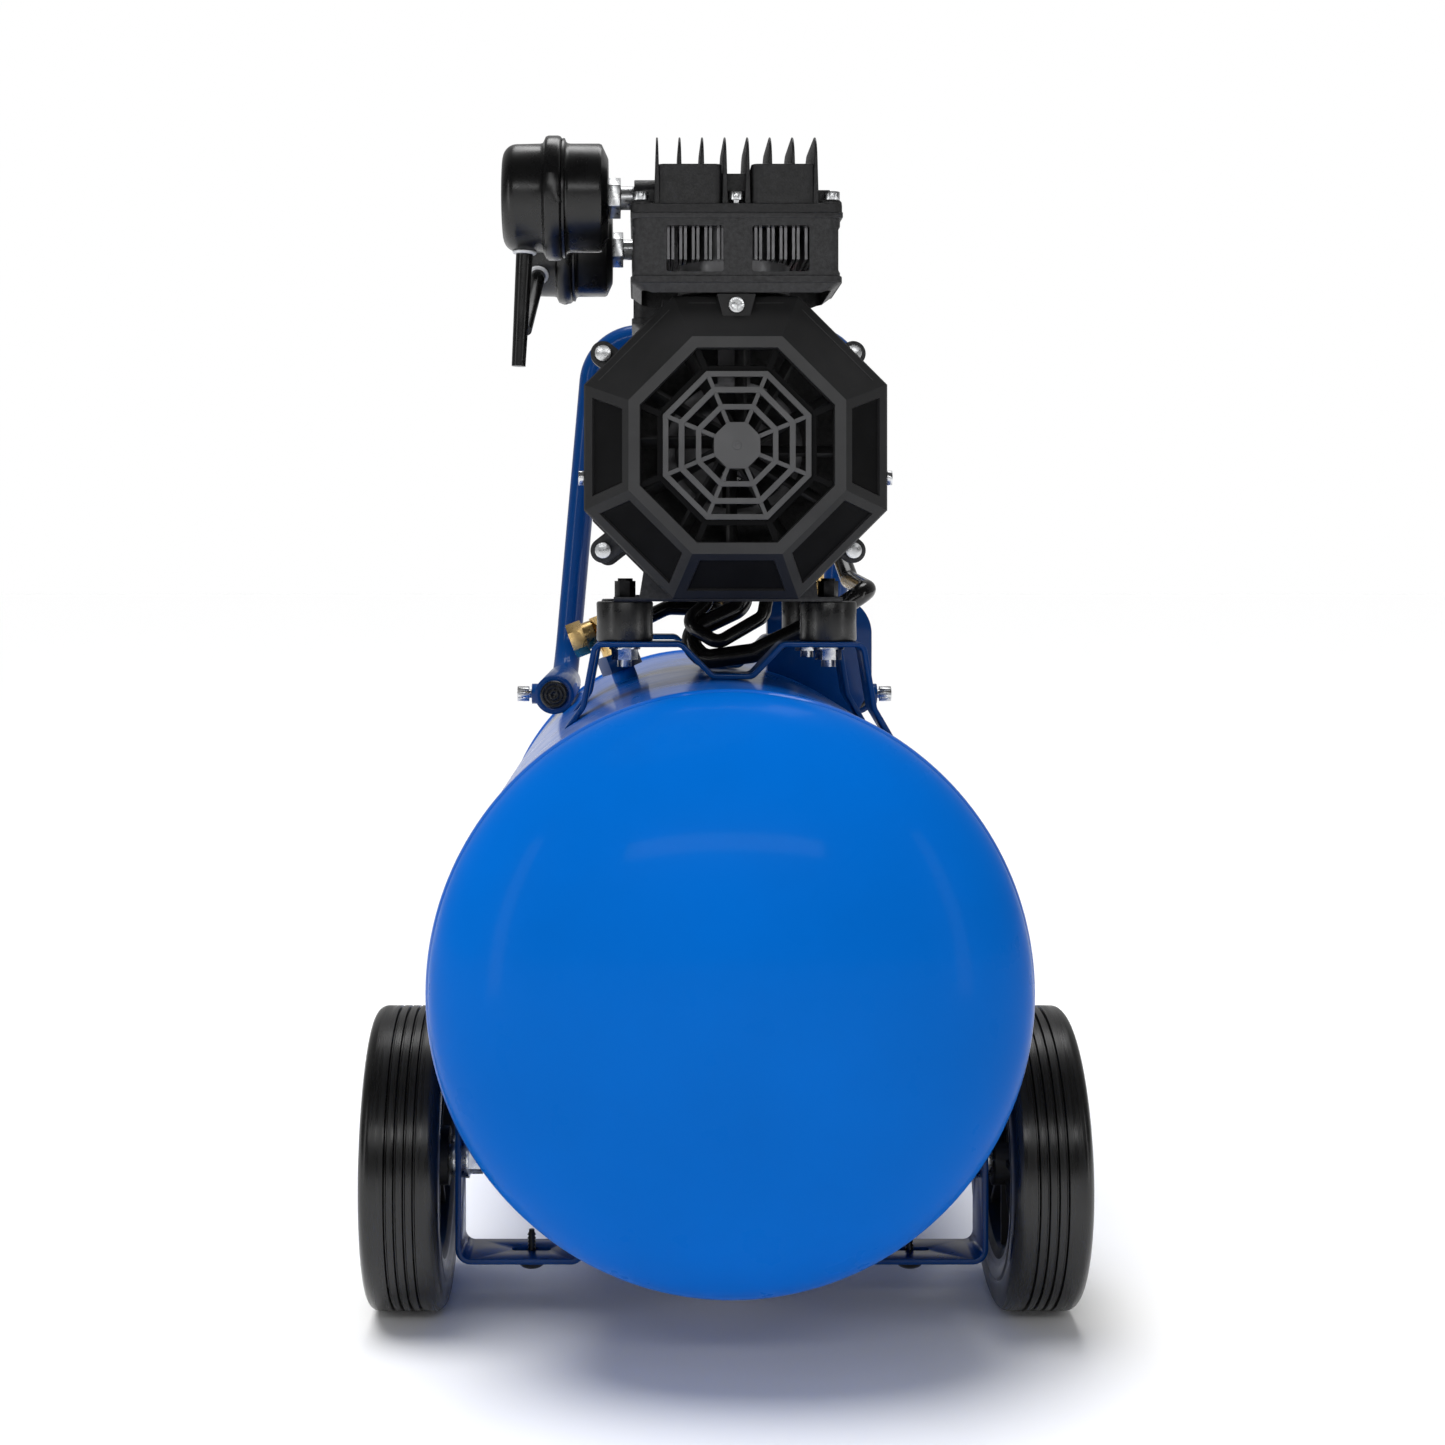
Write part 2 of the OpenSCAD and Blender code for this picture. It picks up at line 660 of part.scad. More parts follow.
module shaft() {
    color([0.7, 0.71, 0.73]) at_end(-1) {
        translate([0, 0, -fan_s - fan_w]) cylinder(r = 6, h = 2 * (fan_s + fan_w));
        for (s = [-1, 1]) translate([0, 0, s > 0 ? 46 : -49]) cylinder(r = 9, h = 3);
    }
}

module rotor() {
    color([0.5, 0.5, 0.52]) at_end(-1) translate([0, 0, -core_s]) difference() {
        cylinder(r = 37, h = 2 * core_s);
        translate([0, 0, -1]) cylinder(r = 6, h = 2 * core_s + 2);
    }
}

module shaft_bearings() {
    color([0.8, 0.8, 0.82]) pump_ends() translate([0, 0, wall_s]) difference() {
        cylinder(r = 16, h = wall_t);
        translate([0, 0, -1]) cylinder(r = 6 + run_gap, h = wall_t + 2);
    }
}

// Eccentric discs, half a turn apart, each with a counterweight beside the rod
module eccentrics() {
    color([0.6, 0.61, 0.63]) for (s = [-1, 1]) at_end(s) difference() {
        union() {
            translate([-s * throw, 0, cyl_s - 7]) cylinder(r = ecc_r, h = 14);
            translate([0, 0, cyl_s - 18]) cylinder(r = 12, h = 11);
            translate([0, 0, cyl_s - 18]) linear_extrude(8) intersection() {
                circle(r = 38);
                translate([s * 31, 0]) square([50, 80], center = true);
            }
        }
        translate([0, 0, cyl_s - 30]) cylinder(r = 6, h = 60);
    }
}

// A one-piece rod and piston with a cup seal; the eye leaves room for the eccentric's sweep
module piston_rod(s) {
    color([0.66, 0.67, 0.69]) at_cylinder(s) difference() {
        union() {
            translate([0, -6, shaft_z]) to_py() cylinder(r = eye_r + 5, h = 12);
            translate([-9, -5, shaft_z + eye_r + 1]) cube([18, 10, piston_top - shaft_z - eye_r - 8]);
            translate([0, 0, piston_top - 9]) cylinder(d = bore_d - 2.4, h = 9);
        }
        translate([0, -10, shaft_z]) to_py() cylinder(r = eye_r, h = 20);
    }
    color([0.2, 0.2, 0.2]) at_cylinder(s) translate([0, 0, piston_top]) {
        cylinder(d = bore_d - 2 * run_gap, h = 2);
        translate([0, 0, 2]) cylinder(d = bore_d - 6, h = 2);
    }
}
module piston_rod_front() { piston_rod(-1); }
module piston_rod_rear() { piston_rod(1); }

// ---- cylinders and heads ----------------------------------------------------------------------

module cylinders() {
    fin_z = block_z + 17;
    color([0.72, 0.73, 0.74]) for (s = [-1, 1]) at_cylinder(s) difference() {
        union() {
            translate([0, 0, block_z + 1]) cylinder(d = bore_d + 5, h = gasket_z - block_z - 1);
            translate([-44, -33.5, gasket_z - 4]) cube([88, 67, 4]);
            intersection() {
                for (a = [0 : 10 : 350]) rotate(a) translate([bore_d / 2 + 1, -0.9, fin_z])
                    cube([20, 1.8, gasket_z - 3 - fin_z]);
                translate([-48, -33.5, fin_z - 1]) cube([96, 67, 60]);
            }
        }
        translate([0, 0, block_z - 1]) cylinder(d = bore_d, h = 60);
    }
}

module shroud_panel() {
    for (x0 = [-38, 8.5]) translate([x0, -shroud_l, block_z + 11]) cube([31, 2 * shroud_l, 25]);
    for (y = [-20, 20]) translate([-shroud_w, y - 14, block_z + 11]) cube([2 * shroud_w, 28, 25]);
}

module cylinder_shrouds() {
    w = shroud_w / 2;
    color([0.13, 0.13, 0.14]) for (s = [-1, 1]) at_cylinder(s) difference() {
        union() {
            translate([0, shroud_l / 2, 0]) rotate([90, 0, 0]) linear_extrude(shroud_l) polygon([
                [-w + 7, block_z], [w - 7, block_z], [w - 1, block_z + 5], [w - 1, gasket_z],
                [-w + 1, gasket_z], [-w + 1, block_z + 5]]);
            translate([-w, -shroud_l / 2 - 0.6, block_z + 5]) cube([shroud_w, shroud_l + 1.2, 4]);
        }
        translate([-w + 6, -shroud_l / 2 + 3, block_z - 1]) cube([shroud_w - 12, shroud_l - 6, 60]);
        shroud_panel();
    }
}

module valve_plates() {
    w = shroud_w / 2;
    color([0.3, 0.3, 0.31]) for (s = [-1, 1]) at_cylinder(s) difference() {
        translate([-w, -shroud_l / 2, gasket_z]) cube([shroud_w, shroud_l, plate_t]);
        for (x = [-16, 16]) translate([x, 0, gasket_z - 1]) cylinder(r = 4, h = plate_t + 2);
        head_bolt_places() translate([0, 0, gasket_z - 1]) cylinder(r = 2.6, h = plate_t + 2);
    }
}

module head_bolt_places() {
    for (x = [-52, 0, 52], y = [-31, 31]) translate([x, y, 0]) children();
}

fins = 8;
fin_pitch = 12.3;
module fin() {
    translate([0, shroud_l / 2 - 2, 0]) rotate([90, 0, 0]) linear_extrude(shroud_l - 4) polygon([
        [-1.7, head_z + head_base - 1], [1.7, head_z + head_base - 1], [0.7, fin_tip_z], [-0.7, fin_tip_z]]);
}

module cylinder_heads() {
    w = shroud_w / 2;
    l = shroud_l / 2;
    color([0.1, 0.1, 0.1]) for (s = [-1, 1]) at_cylinder(s) difference() {
        union() {
            translate([-w, -l, head_z]) cube([shroud_w, shroud_l, head_base - 3]);
            for (x = [-51, 51], y = [-30.5, 30.5]) translate([x, y, head_z]) cylinder(r = 6.5, h = 7);
            translate([-w + 6, -port_l, head_z]) cube([shroud_w - 12, 2 * port_l, 14]);
            translate([-9, -port_l, head_z]) cube([18, 2 * port_l, 23]);
            for (x = [-43, 8]) translate([x, -l + 1, head_z]) cube([35, shroud_l - 2, head_box_z - head_z]);
            for (k = [0 : fins - 1]) translate([(k - (fins - 1) / 2) * fin_pitch, 0, 0]) fin();
            translate([-w + 2, 0, filter_z]) to_px() cylinder(r = 10, h = 30);
        }
        head_bolt_places() translate([0, 0, head_z - 1]) cylinder(r = 2.6, h = 60);
        translate([-w - 1, 0, filter_z]) to_px() cylinder(r = 6.5, h = 20);
        for (t = [-1, 1]) translate([0, t * port_l - 10, port_z]) to_py() cylinder(r = 5, h = 20);
    }
}

module head_bolts() {
    color([0.76, 0.77, 0.79]) for (s = [-1, 1]) at_cylinder(s) head_bolt_places() {
        z = head_z + head_base - 3;
        translate([0, 0, z + 2.2]) difference() {
            cylinder(r = 4.3, h = 4.5);
            translate([0, 0, 2]) cylinder(r = 2.3, h = 4, $fn = 6);
        }
        translate([0, 0, gasket_z - 3]) cylinder(r = 2.5, h = z - gasket_z + 6);
    }
}

// ---- fans and covers --------------------------------------------------------------------------

module fan() {
    translate([0, 0, fan_s]) difference() {
        union() {
            cylinder(r = 13, h = fan_w);
            for (a = [0 : 30 : 330]) rotate(a) translate([11, -1, 0]) rotate([28, 0, 0])
                cube([49, 2, fan_w - 1]);
        }
        translate([0, 0, -1]) cylinder(r = 6, h = fan_w + 2);
        translate([0, 0, -3]) linear_extrude(3) square(200, center = true);
        translate([0, 0, fan_w]) linear_extrude(3) square(200, center = true);
    }
}

module cooling_fans() {
    color([0.16, 0.16, 0.17]) pump_ends() fan();
}

// One octagonal ring of the grille
module octagon_ring(af_out, af_in) {
    difference() {
        octagon(af_out);
        octagon(af_in);
    }
}

module grille() {
    octagon_ring(85, 72.5);
    for (af = [61.4, 43.3]) octagon_ring(af, af - 6);
    octagon(24.4);
    for (a = [22.5 : 45 : 337.5]) rotate(a) {
        translate([0, -1.15]) square([42, 2.3]);
        translate([40, -2]) square([17, 4]);
    }
}

// A fan cover: straight octagonal skirt, sloping facets, flat frame and a web of rings
module fan_cover() {
    skirt_s = case_s - 3;
    slope_s = cover_s - 20;
    r_out = cover_af / 2 / cos(22.5);
    r_face = face_af / 2 / cos(22.5);
    difference() {
        union() {
            translate([0, 0, skirt_s]) linear_extrude(slope_s - skirt_s) octagon(cover_af);
            translate([0, 0, slope_s]) rotate(22.5)
                cylinder(r1 = r_out, r2 = r_face, h = cover_s - slope_s, $fn = 8);
            translate([0, 76.5, slope_s]) cylinder(r = 6.5, h = screw_seat_s - slope_s);
        }
        translate([0, 0, skirt_s - 1]) linear_extrude(slope_s - skirt_s + 0.5) octagon(cover_af - 5);
        translate([0, 0, slope_s - 0.6]) rotate(22.5)
            cylinder(r1 = r_out - 2.8, r2 = r_face - 3, h = cover_s - slope_s - 2, $fn = 8);
        translate([0, 0, slope_s]) linear_extrude(30) octagon(face_af - 12);
        bolt_posts(5, skirt_s - 1, 4.4);
    }
    translate([0, 0, cover_s - 5]) linear_extrude(3.4) grille();
    translate([0, 0, cover_s - 6.5]) linear_extrude(4) octagon_ring(face_af - 11, face_af - 18);
}

module fan_cover_front() { color([0.17, 0.17, 0.18]) at_end(-1) fan_cover(); }
module fan_cover_rear() { color([0.17, 0.17, 0.18]) at_end(1) fan_cover(); }

// ---- filters ----------------------------------------------------------------------------------

filter_left = -121;
filter_rim = -98;
filter_mid = -88;
filter_right = -66;

module at_filter(s) {
    translate([0, pump_y + s * cyl_s, filter_z]) children();
}

// The right-hand canister with its clamp rim
module filter_bodies() {
    r = filter_d / 2;
    color([0.05, 0.05, 0.06]) for (s = [-1, 1]) at_filter(s) difference() {
        translate([filter_mid, 0, 0]) to_px() rotate_extrude() polygon([
            [0, 0], [r + 3, 0], [r + 3, 1.5], [r + 1, 2], [r, 3], [r, filter_right - filter_mid],
            [r - 8, filter_right - filter_mid + 3.6], [0, filter_right - filter_mid + 3.6]]);
        translate([filter_mid - 1, 0, 0]) to_px()
            cylinder(r = r - 3, h = filter_right - filter_mid - 2);
        translate([filter_mid, 0, 0]) to_px() cylinder(r = 5, h = 60);
    }
}

// Where an intake tube leaves its cover; the rear one is turned towards the front
module intake(s) {
    rotate([s > 0 ? -50 : 0, 0, 0]) translate([-109, 0, 4 - filter_d / 2]) rotate([0, s > 0 ? 185 : 183, 0])
        children();
}

// The left-hand cover with the drooping intake tube
module filter_covers() {
    r = filter_d / 2;
    l = filter_mid - filter_left;
    color([0.05, 0.05, 0.06]) for (s = [-1, 1]) at_filter(s) difference() {
        union() {
            translate([filter_mid, 0, 0]) to_mx() rotate_extrude() polygon(concat(
                [[0, 0], [r + 4, 0], [r + 5, 1], [r + 5, 8.6], [r + 3.6, 10], [r, 10.4], [r, l - 8]],
                [for (a = [15 : 15 : 90]) [r - 8 + 8 * cos(a), l - 8 + 8 * sin(a)]], [[0, l]]));
            intake(s) cylinder(r1 = 4.8, r2 = 3.9, h = 68);
        }
        translate([filter_mid + 1, 0, 0]) to_mx() cylinder(r = r - 3, h = l - 4);
        intake(s) cylinder(r1 = 3.4, r2 = 2.5, h = 69);
    }
}

module filter_elements() {
    color([0.85, 0.82, 0.72]) for (s = [-1, 1]) at_filter(s) translate([-114, 0, 0]) to_px()
        difference() {
            cylinder(r = 24, h = 44);
            translate([0, 0, -1]) cylinder(r = 12, h = 46);
        }
}

module filter_nipples() {
    tip = pump_x - shroud_w / 2;
    color([0.74, 0.75, 0.77]) for (s = [-1, 1]) at_filter(s) difference() {
        union() {
            translate([-62.3, 0, 0]) to_px() hex(20, 6.7);
            translate([-70, 0, 0]) to_px() cylinder(r = 5, h = 10);
            translate([-56, 0, 0]) to_px() cylinder(r = 6.5, h = tip + 56 + 12);
        }
        translate([-80, 0, 0]) to_px() cylinder(r = 3.4, h = 60);
    }
}

// ---- air lines --------------------------------------------------------------------------------

module check_valve() {
    on_tank(-valve_angle, valve_y) {
        color([0.0, 0.26, 0.75]) translate([0, 0, 7]) difference() {
            hex(24, 12);
            translate([0, 0, -1]) cylinder(r = 5, h = 14);
        }
        color([0.82, 0.66, 0.36]) {
            translate([0, 0, -5]) difference() {
                cylinder(r = 6, h = 12);
                translate([0, 0, -1]) cylinder(r = 4, h = 14);
            }
            translate([0, 0, 19]) cylinder(r = 9, h = 27);
            translate([-8, 0, 36]) to_mx() cylinder(r = 9, h = 7);
            translate([-15, 0, 36]) to_mx() hex(20, 10);
        }
    }
    color([0.1, 0.1, 0.1]) bar(hose_start - 14 * hose_lift, hose_start, 6.4);
}

hose_start = [-41, valve_y, 377];
hose_lift = [cos(26), 0, sin(26)];
hose_turn_r = 13;
function hose_route() = [hose_start, hose_start + 16 * hose_lift, [4, 46, 383], [16, 86, 386],
    [16, 88, port_z], [pump_x, 60, port_z], [pump_x, pump_y + cyl_s + port_l - 8, port_z]];

// The hose from the far head down to the check valve, and the pipe that joins the two heads
module discharge_lines() {
    color([0.12, 0.12, 0.12]) sweep(rounded(hose_route(), hose_turn_r, 5), 4.9, 12, [0, 0, 1]);
    color([0.7, 0.71, 0.72]) translate([pump_x, pump_y - cyl_s + port_l - 8, port_z]) to_py()
        cylinder(r = 4.9, h = 2 * (cyl_s - port_l) + 16);
}

// ---- controls ---------------------------------------------------------------------------------

plate_y = 75;
module console_plate() {
    color([0.0, 0.26, 0.75]) difference() {
        union() {
            translate([0, plate_y + 1.5, 0]) rotate([90, 0, 0]) linear_extrude(3) union() {
                polygon([[41, 300], [94, 300], [111, 330], [111, 366], [41, 391]]);
                translate([86, 366]) circle(r = 25);
                translate([41, 350]) square([45, 41]);
            }
            translate([41, plate_y, 300]) cube([3, 18, 91]);
        }
        translate([0, 0, tank_z]) to_py() cylinder(r = tank_r, h = 200, $fn = 128);
    }
}

module manifold() {
    color([0.78, 0.6, 0.3]) {
        difference() {
            translate([manifold_left, ctrl_y, ctrl_z]) to_px() cylinder(r = 9, h = manifold_right - manifold_left);
            translate([manifold_left - 1, ctrl_y, ctrl_z]) to_px() cylinder(r = 5, h = 100);
        }
        translate([riser_x, ctrl_y, tank_z + 120]) difference() {
            cylinder(r = 6.5, h = ctrl_z - tank_z - 120 - 7);
            translate([0, 0, -1]) cylinder(r = 4, h = 100);
        }
        translate([riser_x, ctrl_y, tank_z + 136.4]) hex(22, 12);
        translate([reg_x, ctrl_y, ctrl_z - 16]) difference() {
            cylinder(r = 17, h = 30);
            translate([-40, 0, 16]) to_px() cylinder(r = 8.5, h = 80);
        }
        for (x = gauge_xs) translate([x, ctrl_y + 8, ctrl_z]) to_py() cylinder(r = 5, h = 14);
        translate([switch_x, ctrl_y, ctrl_z + 7]) cylinder(r = 6, h = 14);
        translate([safety_x, ctrl_y + 6, ctrl_z]) to_py() cylinder(r = 6, h = 4);
    }
}

switch_z = ctrl_z + 21;
module pressure_switch() {
    color([0.1, 0.1, 0.11]) translate([switch_x, ctrl_y, switch_z]) {
        difference() {
            translate([-31, -27, 0]) cube([62, 54, 62]);
            translate([-28, -24, 3]) cube([56, 48, 56]);
            translate([0, 0, 50]) cylinder(r = 5 + body_gap, h = 20);
            translate([0, -30, 22]) to_py() cylinder(r = 7, h = 10);
            translate([22, 20, 22]) to_py() cylinder(r = 7, h = 10);
        }
        translate([22, 24, 22]) to_py() difference() {
            cylinder(r = 7, h = 13);
            translate([0, 0, -1]) cylinder(r = 4.2, h = 20);
        }
    }
}

module switch_knob() {
    color([0.75, 0.08, 0.06]) translate([switch_x, ctrl_y, switch_z + 62]) {
        translate([0, 0, -20]) cylinder(r = 5, h = 28);
        translate([0, 0, 6]) cylinder(r = 13, h = 11);
    }
}

safety_y = ctrl_y + 10;
module safety_valve() {
    color([0.8, 0.63, 0.32]) translate([safety_x, safety_y, ctrl_z]) to_py() difference() {
        union() {
            cylinder(r = 5, h = 4);
            translate([0, 0, 4]) hex(14, 7);
            translate([0, 0, 11]) cylinder(r = 6.4, h = 17);
        }
        translate([0, 0, 6]) cylinder(r = 2.5, h = 40);
        for (a = [0, 90]) rotate(a) translate([-10, -1, 14]) cube([20, 2, 6]);
    }
}

module safety_ring() {
    color([0.75, 0.76, 0.78]) translate([safety_x, safety_y, ctrl_z]) {
        to_py() translate([0, 0, 14]) cylinder(r = 1.6, h = 20);
        translate([0, 43, 0]) rotate([0, 0, 0]) rotate_extrude() translate([10, 0]) circle(r = 1.2, $fn = 24);
    }
}

module regulator_knob() {
    color([0.1, 0.1, 0.11]) translate([reg_x, ctrl_y, ctrl_z + 14 + body_gap]) {
        difference() {
            cylinder(r = 17, h = 30);
            for (a = [0 : 20 : 340]) rotate(a) translate([17.6, 0, -1]) cylinder(r = 1.6, h = 26);
        }
    }
}

// A gauge with its dial towards +Y: a cup with a raised bezel and a pivot
gauge_r = 20;
module gauges() {
    color([0.12, 0.12, 0.13]) for (x = gauge_xs) translate([x, ctrl_y + 22, ctrl_z]) to_py()
        difference() {
            cylinder(r = gauge_r, h = 20);
            translate([0, 0, 12]) cylinder(r = gauge_r - 2, h = 20);
            translate([0, 0, 8]) cylinder(r = 1.2 + run_gap, h = 20);
        }
}

module needle(x) {
    translate([x, ctrl_y + 22, ctrl_z]) to_py() {
        translate([0, 0, 9]) cylinder(r = 1.2, h = 5);
        translate([0, 0, 13.6]) cylinder(r = 2.4, h = 1);
        rotate(45) translate([-4, -0.5, 13.8]) cube([17, 1, 0.6]);
    }
}
module gauge_needle_tank() { color([0.8, 0.1, 0.05]) needle(gauge_xs[0]); }
module gauge_needle_outlet() { color([0.8, 0.1, 0.05]) needle(gauge_xs[1]); }

plug_r = 5.1;
module outlet_coupler() {
    color([0.8, 0.63, 0.32]) translate([manifold_left + 6, ctrl_y, ctrl_z]) to_mx() difference() {
        union() {
            cylinder(r = 5, h = 7);
            translate([0, 0, 6]) hex(19, 9);
            translate([0, 0, 15]) cylinder(r = 8, h = 27);
        }
        translate([0, 0, 20]) cylinder(r = plug_r, h = 40);
        translate([0, 0, -1]) cylinder(r = 3, h = 40);
    }
}

module coupler_sleeve() {
    color([0.76, 0.77, 0.79]) translate([manifold_left - 14.5, ctrl_y, ctrl_z]) to_mx() difference() {
        union() {
            cylinder(r = 11, h = 18);
            for (z = [2, 14]) translate([0, 0, z]) cylinder(r = 11.8, h = 2);
        }
        translate([0, 0, -1]) cylinder(r = 8 + run_gap, h = 40);
    }
}

// ---- wiring -----------------------------------------------------------------------------------

lead_r = 6;
lead_turn_r = 10;
function lead_route() = [[18, -62, 400.2], [18, -62, 386], [-20, -66, 368], [-6, -72, 353.8],
    [24, -76, 358], [64, -84, 378], [92, -78, 396], [93, 40, 402], [84, 92, 440],
    [switch_x, 98, switch_z + 22], [switch_x, 114, switch_z + 22]];

// The sleeved leads under the motor and the run capacitor between the cylinders
module motor_wiring() {
    color([0.07, 0.07, 0.07]) {
        sweep(rounded(lead_route(), lead_turn_r, 5), lead_r, 12, [0, 1, 0]);
        translate([pump_x, pump_y - 36, 571]) to_py() cylinder(r = 18, h = 72);
        translate([pump_x - 12, pump_y - 10, 549]) cube([24, 20, 9]);
    }
}

tank_shell();
tank_front_head();
tank_rear_head();
tank_bosses();
drain_valve();
drain_knob();
wheel_bracket();
wheel_axles();
wheel_left_rim();
wheel_left_tyre();
wheel_right_rim();
wheel_right_tyre();
bumper_plugs();
foot_bracket();
rubber_feet();
chassis_fasteners();
handle_sleeves();
handle_tube();
handle_end_plugs();
lock_screw_left();
lock_screw_right();
motor_cradles();
vibration_mounts();
stator_core();
stator_windings();
crankcases();
through_bolts();
shaft();
rotor();
shaft_bearings();
eccentrics();
piston_rod_front();
piston_rod_rear();
cylinders();
valve_plates();
cylinder_heads();
head_bolts();
cooling_fans();
fan_cover_front();
fan_cover_rear();
cylinder_shrouds();
filter_bodies();
filter_covers();
filter_elements();
filter_nipples();
check_valve();
discharge_lines();
console_plate();
manifold();
pressure_switch();
switch_knob();
safety_valve();
safety_ring();
regulator_knob();
gauges();
gauge_needle_tank();
gauge_needle_outlet();
outlet_coupler();
coupler_sleeve();
motor_wiring();
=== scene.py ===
import json
from math import cos, pi, radians, sin, tan

import bpy
from mathutils import Matrix, Vector


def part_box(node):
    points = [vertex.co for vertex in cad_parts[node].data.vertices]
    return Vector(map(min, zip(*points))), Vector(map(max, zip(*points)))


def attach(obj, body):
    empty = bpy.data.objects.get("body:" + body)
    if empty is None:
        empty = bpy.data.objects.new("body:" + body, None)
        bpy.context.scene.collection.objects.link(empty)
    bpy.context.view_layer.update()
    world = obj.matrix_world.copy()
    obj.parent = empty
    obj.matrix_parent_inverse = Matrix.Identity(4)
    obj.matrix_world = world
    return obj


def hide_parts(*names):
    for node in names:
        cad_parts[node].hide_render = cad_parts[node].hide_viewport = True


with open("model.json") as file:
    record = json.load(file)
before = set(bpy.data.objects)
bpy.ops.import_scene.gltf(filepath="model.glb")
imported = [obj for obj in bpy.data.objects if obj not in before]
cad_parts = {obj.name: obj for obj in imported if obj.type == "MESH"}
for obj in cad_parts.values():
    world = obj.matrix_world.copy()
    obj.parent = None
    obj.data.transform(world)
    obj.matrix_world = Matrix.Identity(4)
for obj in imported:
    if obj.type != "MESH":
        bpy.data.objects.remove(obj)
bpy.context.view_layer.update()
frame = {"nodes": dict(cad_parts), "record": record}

MM = 0.001
CHASSIS = "chassis"
SLOT_OF = {part["node"]: part["material_slot"] for part in frame["record"]["subparts"]}


# ---- camera, floor and light -------------------------------------------------------------------

def make_camera():
    data = bpy.data.cameras.new("camera")
    data.sensor_width = 36
    data.lens = 53.66
    camera = bpy.data.objects.new("camera", data)
    camera.location = (-0.0448, -1.375, 0.402)
    camera.rotation_euler = (radians(90), 0, 0)
    data.shift_x, data.shift_y = 0.0571, -0.0986
    bpy.context.scene.collection.objects.link(camera)
    bpy.context.scene.camera = camera


def make_sun(name, towards_light, strength, spread):
    """Even light from one side, which leaves no reflection of its own."""
    data = bpy.data.lights.new(name, "SUN")
    data.energy = strength
    data.angle = radians(spread)
    light = bpy.data.objects.new(name, data)
    light.rotation_euler = Vector(towards_light).to_track_quat("Z", "Y").to_euler()
    light.visible_glossy = False
    bpy.context.scene.collection.objects.link(light)


def make_softbox(name, location, target, width, height, energy):
    data = bpy.data.lights.new(name, "AREA")
    data.shape = "RECTANGLE"
    data.size, data.size_y = width, height
    data.energy = energy
    light = bpy.data.objects.new(name, data)
    light.location = location
    aim = Vector(target) - Vector(location)
    light.rotation_euler = aim.to_track_quat("-Z", "Y").to_euler()
    bpy.context.scene.collection.objects.link(light)


def make_world(seen, lighting, behind, ahead):
    """A white background. Reflections see it bright behind the object and dim towards the camera."""
    world = bpy.data.worlds.new("studio")
    bpy.context.scene.world = world
    world.use_nodes = True
    nodes, links = world.node_tree.nodes, world.node_tree.links
    background = nodes["Background"]
    background.inputs["Color"].default_value = (1, 1, 1, 1)
    path = nodes.new("ShaderNodeLightPath")
    direction = nodes.new("ShaderNodeTexCoord")
    parts = nodes.new("ShaderNodeSeparateXYZ")
    links.new(direction.outputs["Generated"], parts.inputs["Vector"])
    mirrored = nodes.new("ShaderNodeMapRange")
    mirrored.inputs["From Min"].default_value = -0.2
    mirrored.inputs["From Max"].default_value = 0.9
    mirrored.inputs["To Min"].default_value = ahead
    mirrored.inputs["To Max"].default_value = behind
    links.new(parts.outputs["Y"], mirrored.inputs["Value"])
    glossy = nodes.new("ShaderNodeMapRange")
    glossy.inputs["To Min"].default_value = lighting
    links.new(path.outputs["Is Glossy Ray"], glossy.inputs["Value"])
    links.new(mirrored.outputs["Result"], glossy.inputs["To Max"])
    strength = nodes.new("ShaderNodeMapRange")
    strength.inputs["To Max"].default_value = seen
    links.new(path.outputs["Is Camera Ray"], strength.inputs["Value"])
    links.new(glossy.outputs["Result"], strength.inputs["To Min"])
    links.new(strength.outputs["Result"], background.inputs["Strength"])


def make_studio():
    bpy.context.scene.view_settings.view_transform = "Standard"
    make_world(seen=1.0, lighting=0.25, behind=0.45, ahead=0.06)
    make_sun("above", (-0.2, -0.12, 1), 2.75, 40)
    make_sun("front", (-0.45, -1, 0.1), 0.5, 35)
    make_softbox("front_strip", (0, -1.9, 1.08), (0, 0, 0.2), 1.5, 0.16, 5)
    make_softbox("left_strip", (-1.5, -1.1, 0.5), (0, 0, 0.35), 0.2, 1.4, 3.5)
    make_softbox("right_strip", (1.5, -1.1, 0.5), (0, 0, 0.35), 0.2, 1.4, 2.5)
    make_softbox("top_box", (0.1, 0.5, 1.9), (0, 0.1, 0.4), 1.0, 0.6, 8)
    mesh = bpy.data.meshes.new("floor")
    half = 60
    corners = [(-half, -half, 0), (half, -half, 0), (half, half, 0), (-half, half, 0)]
    mesh.from_pydata(corners, [], [(0, 1, 2, 3)])
    floor = bpy.data.objects.new("floor", mesh)
    bpy.context.scene.collection.objects.link(floor)
    mesh.materials.append(plain_material("floor", (0.96, 0.96, 0.96), roughness=0.9))


# ---- materials ---------------------------------------------------------------------------------

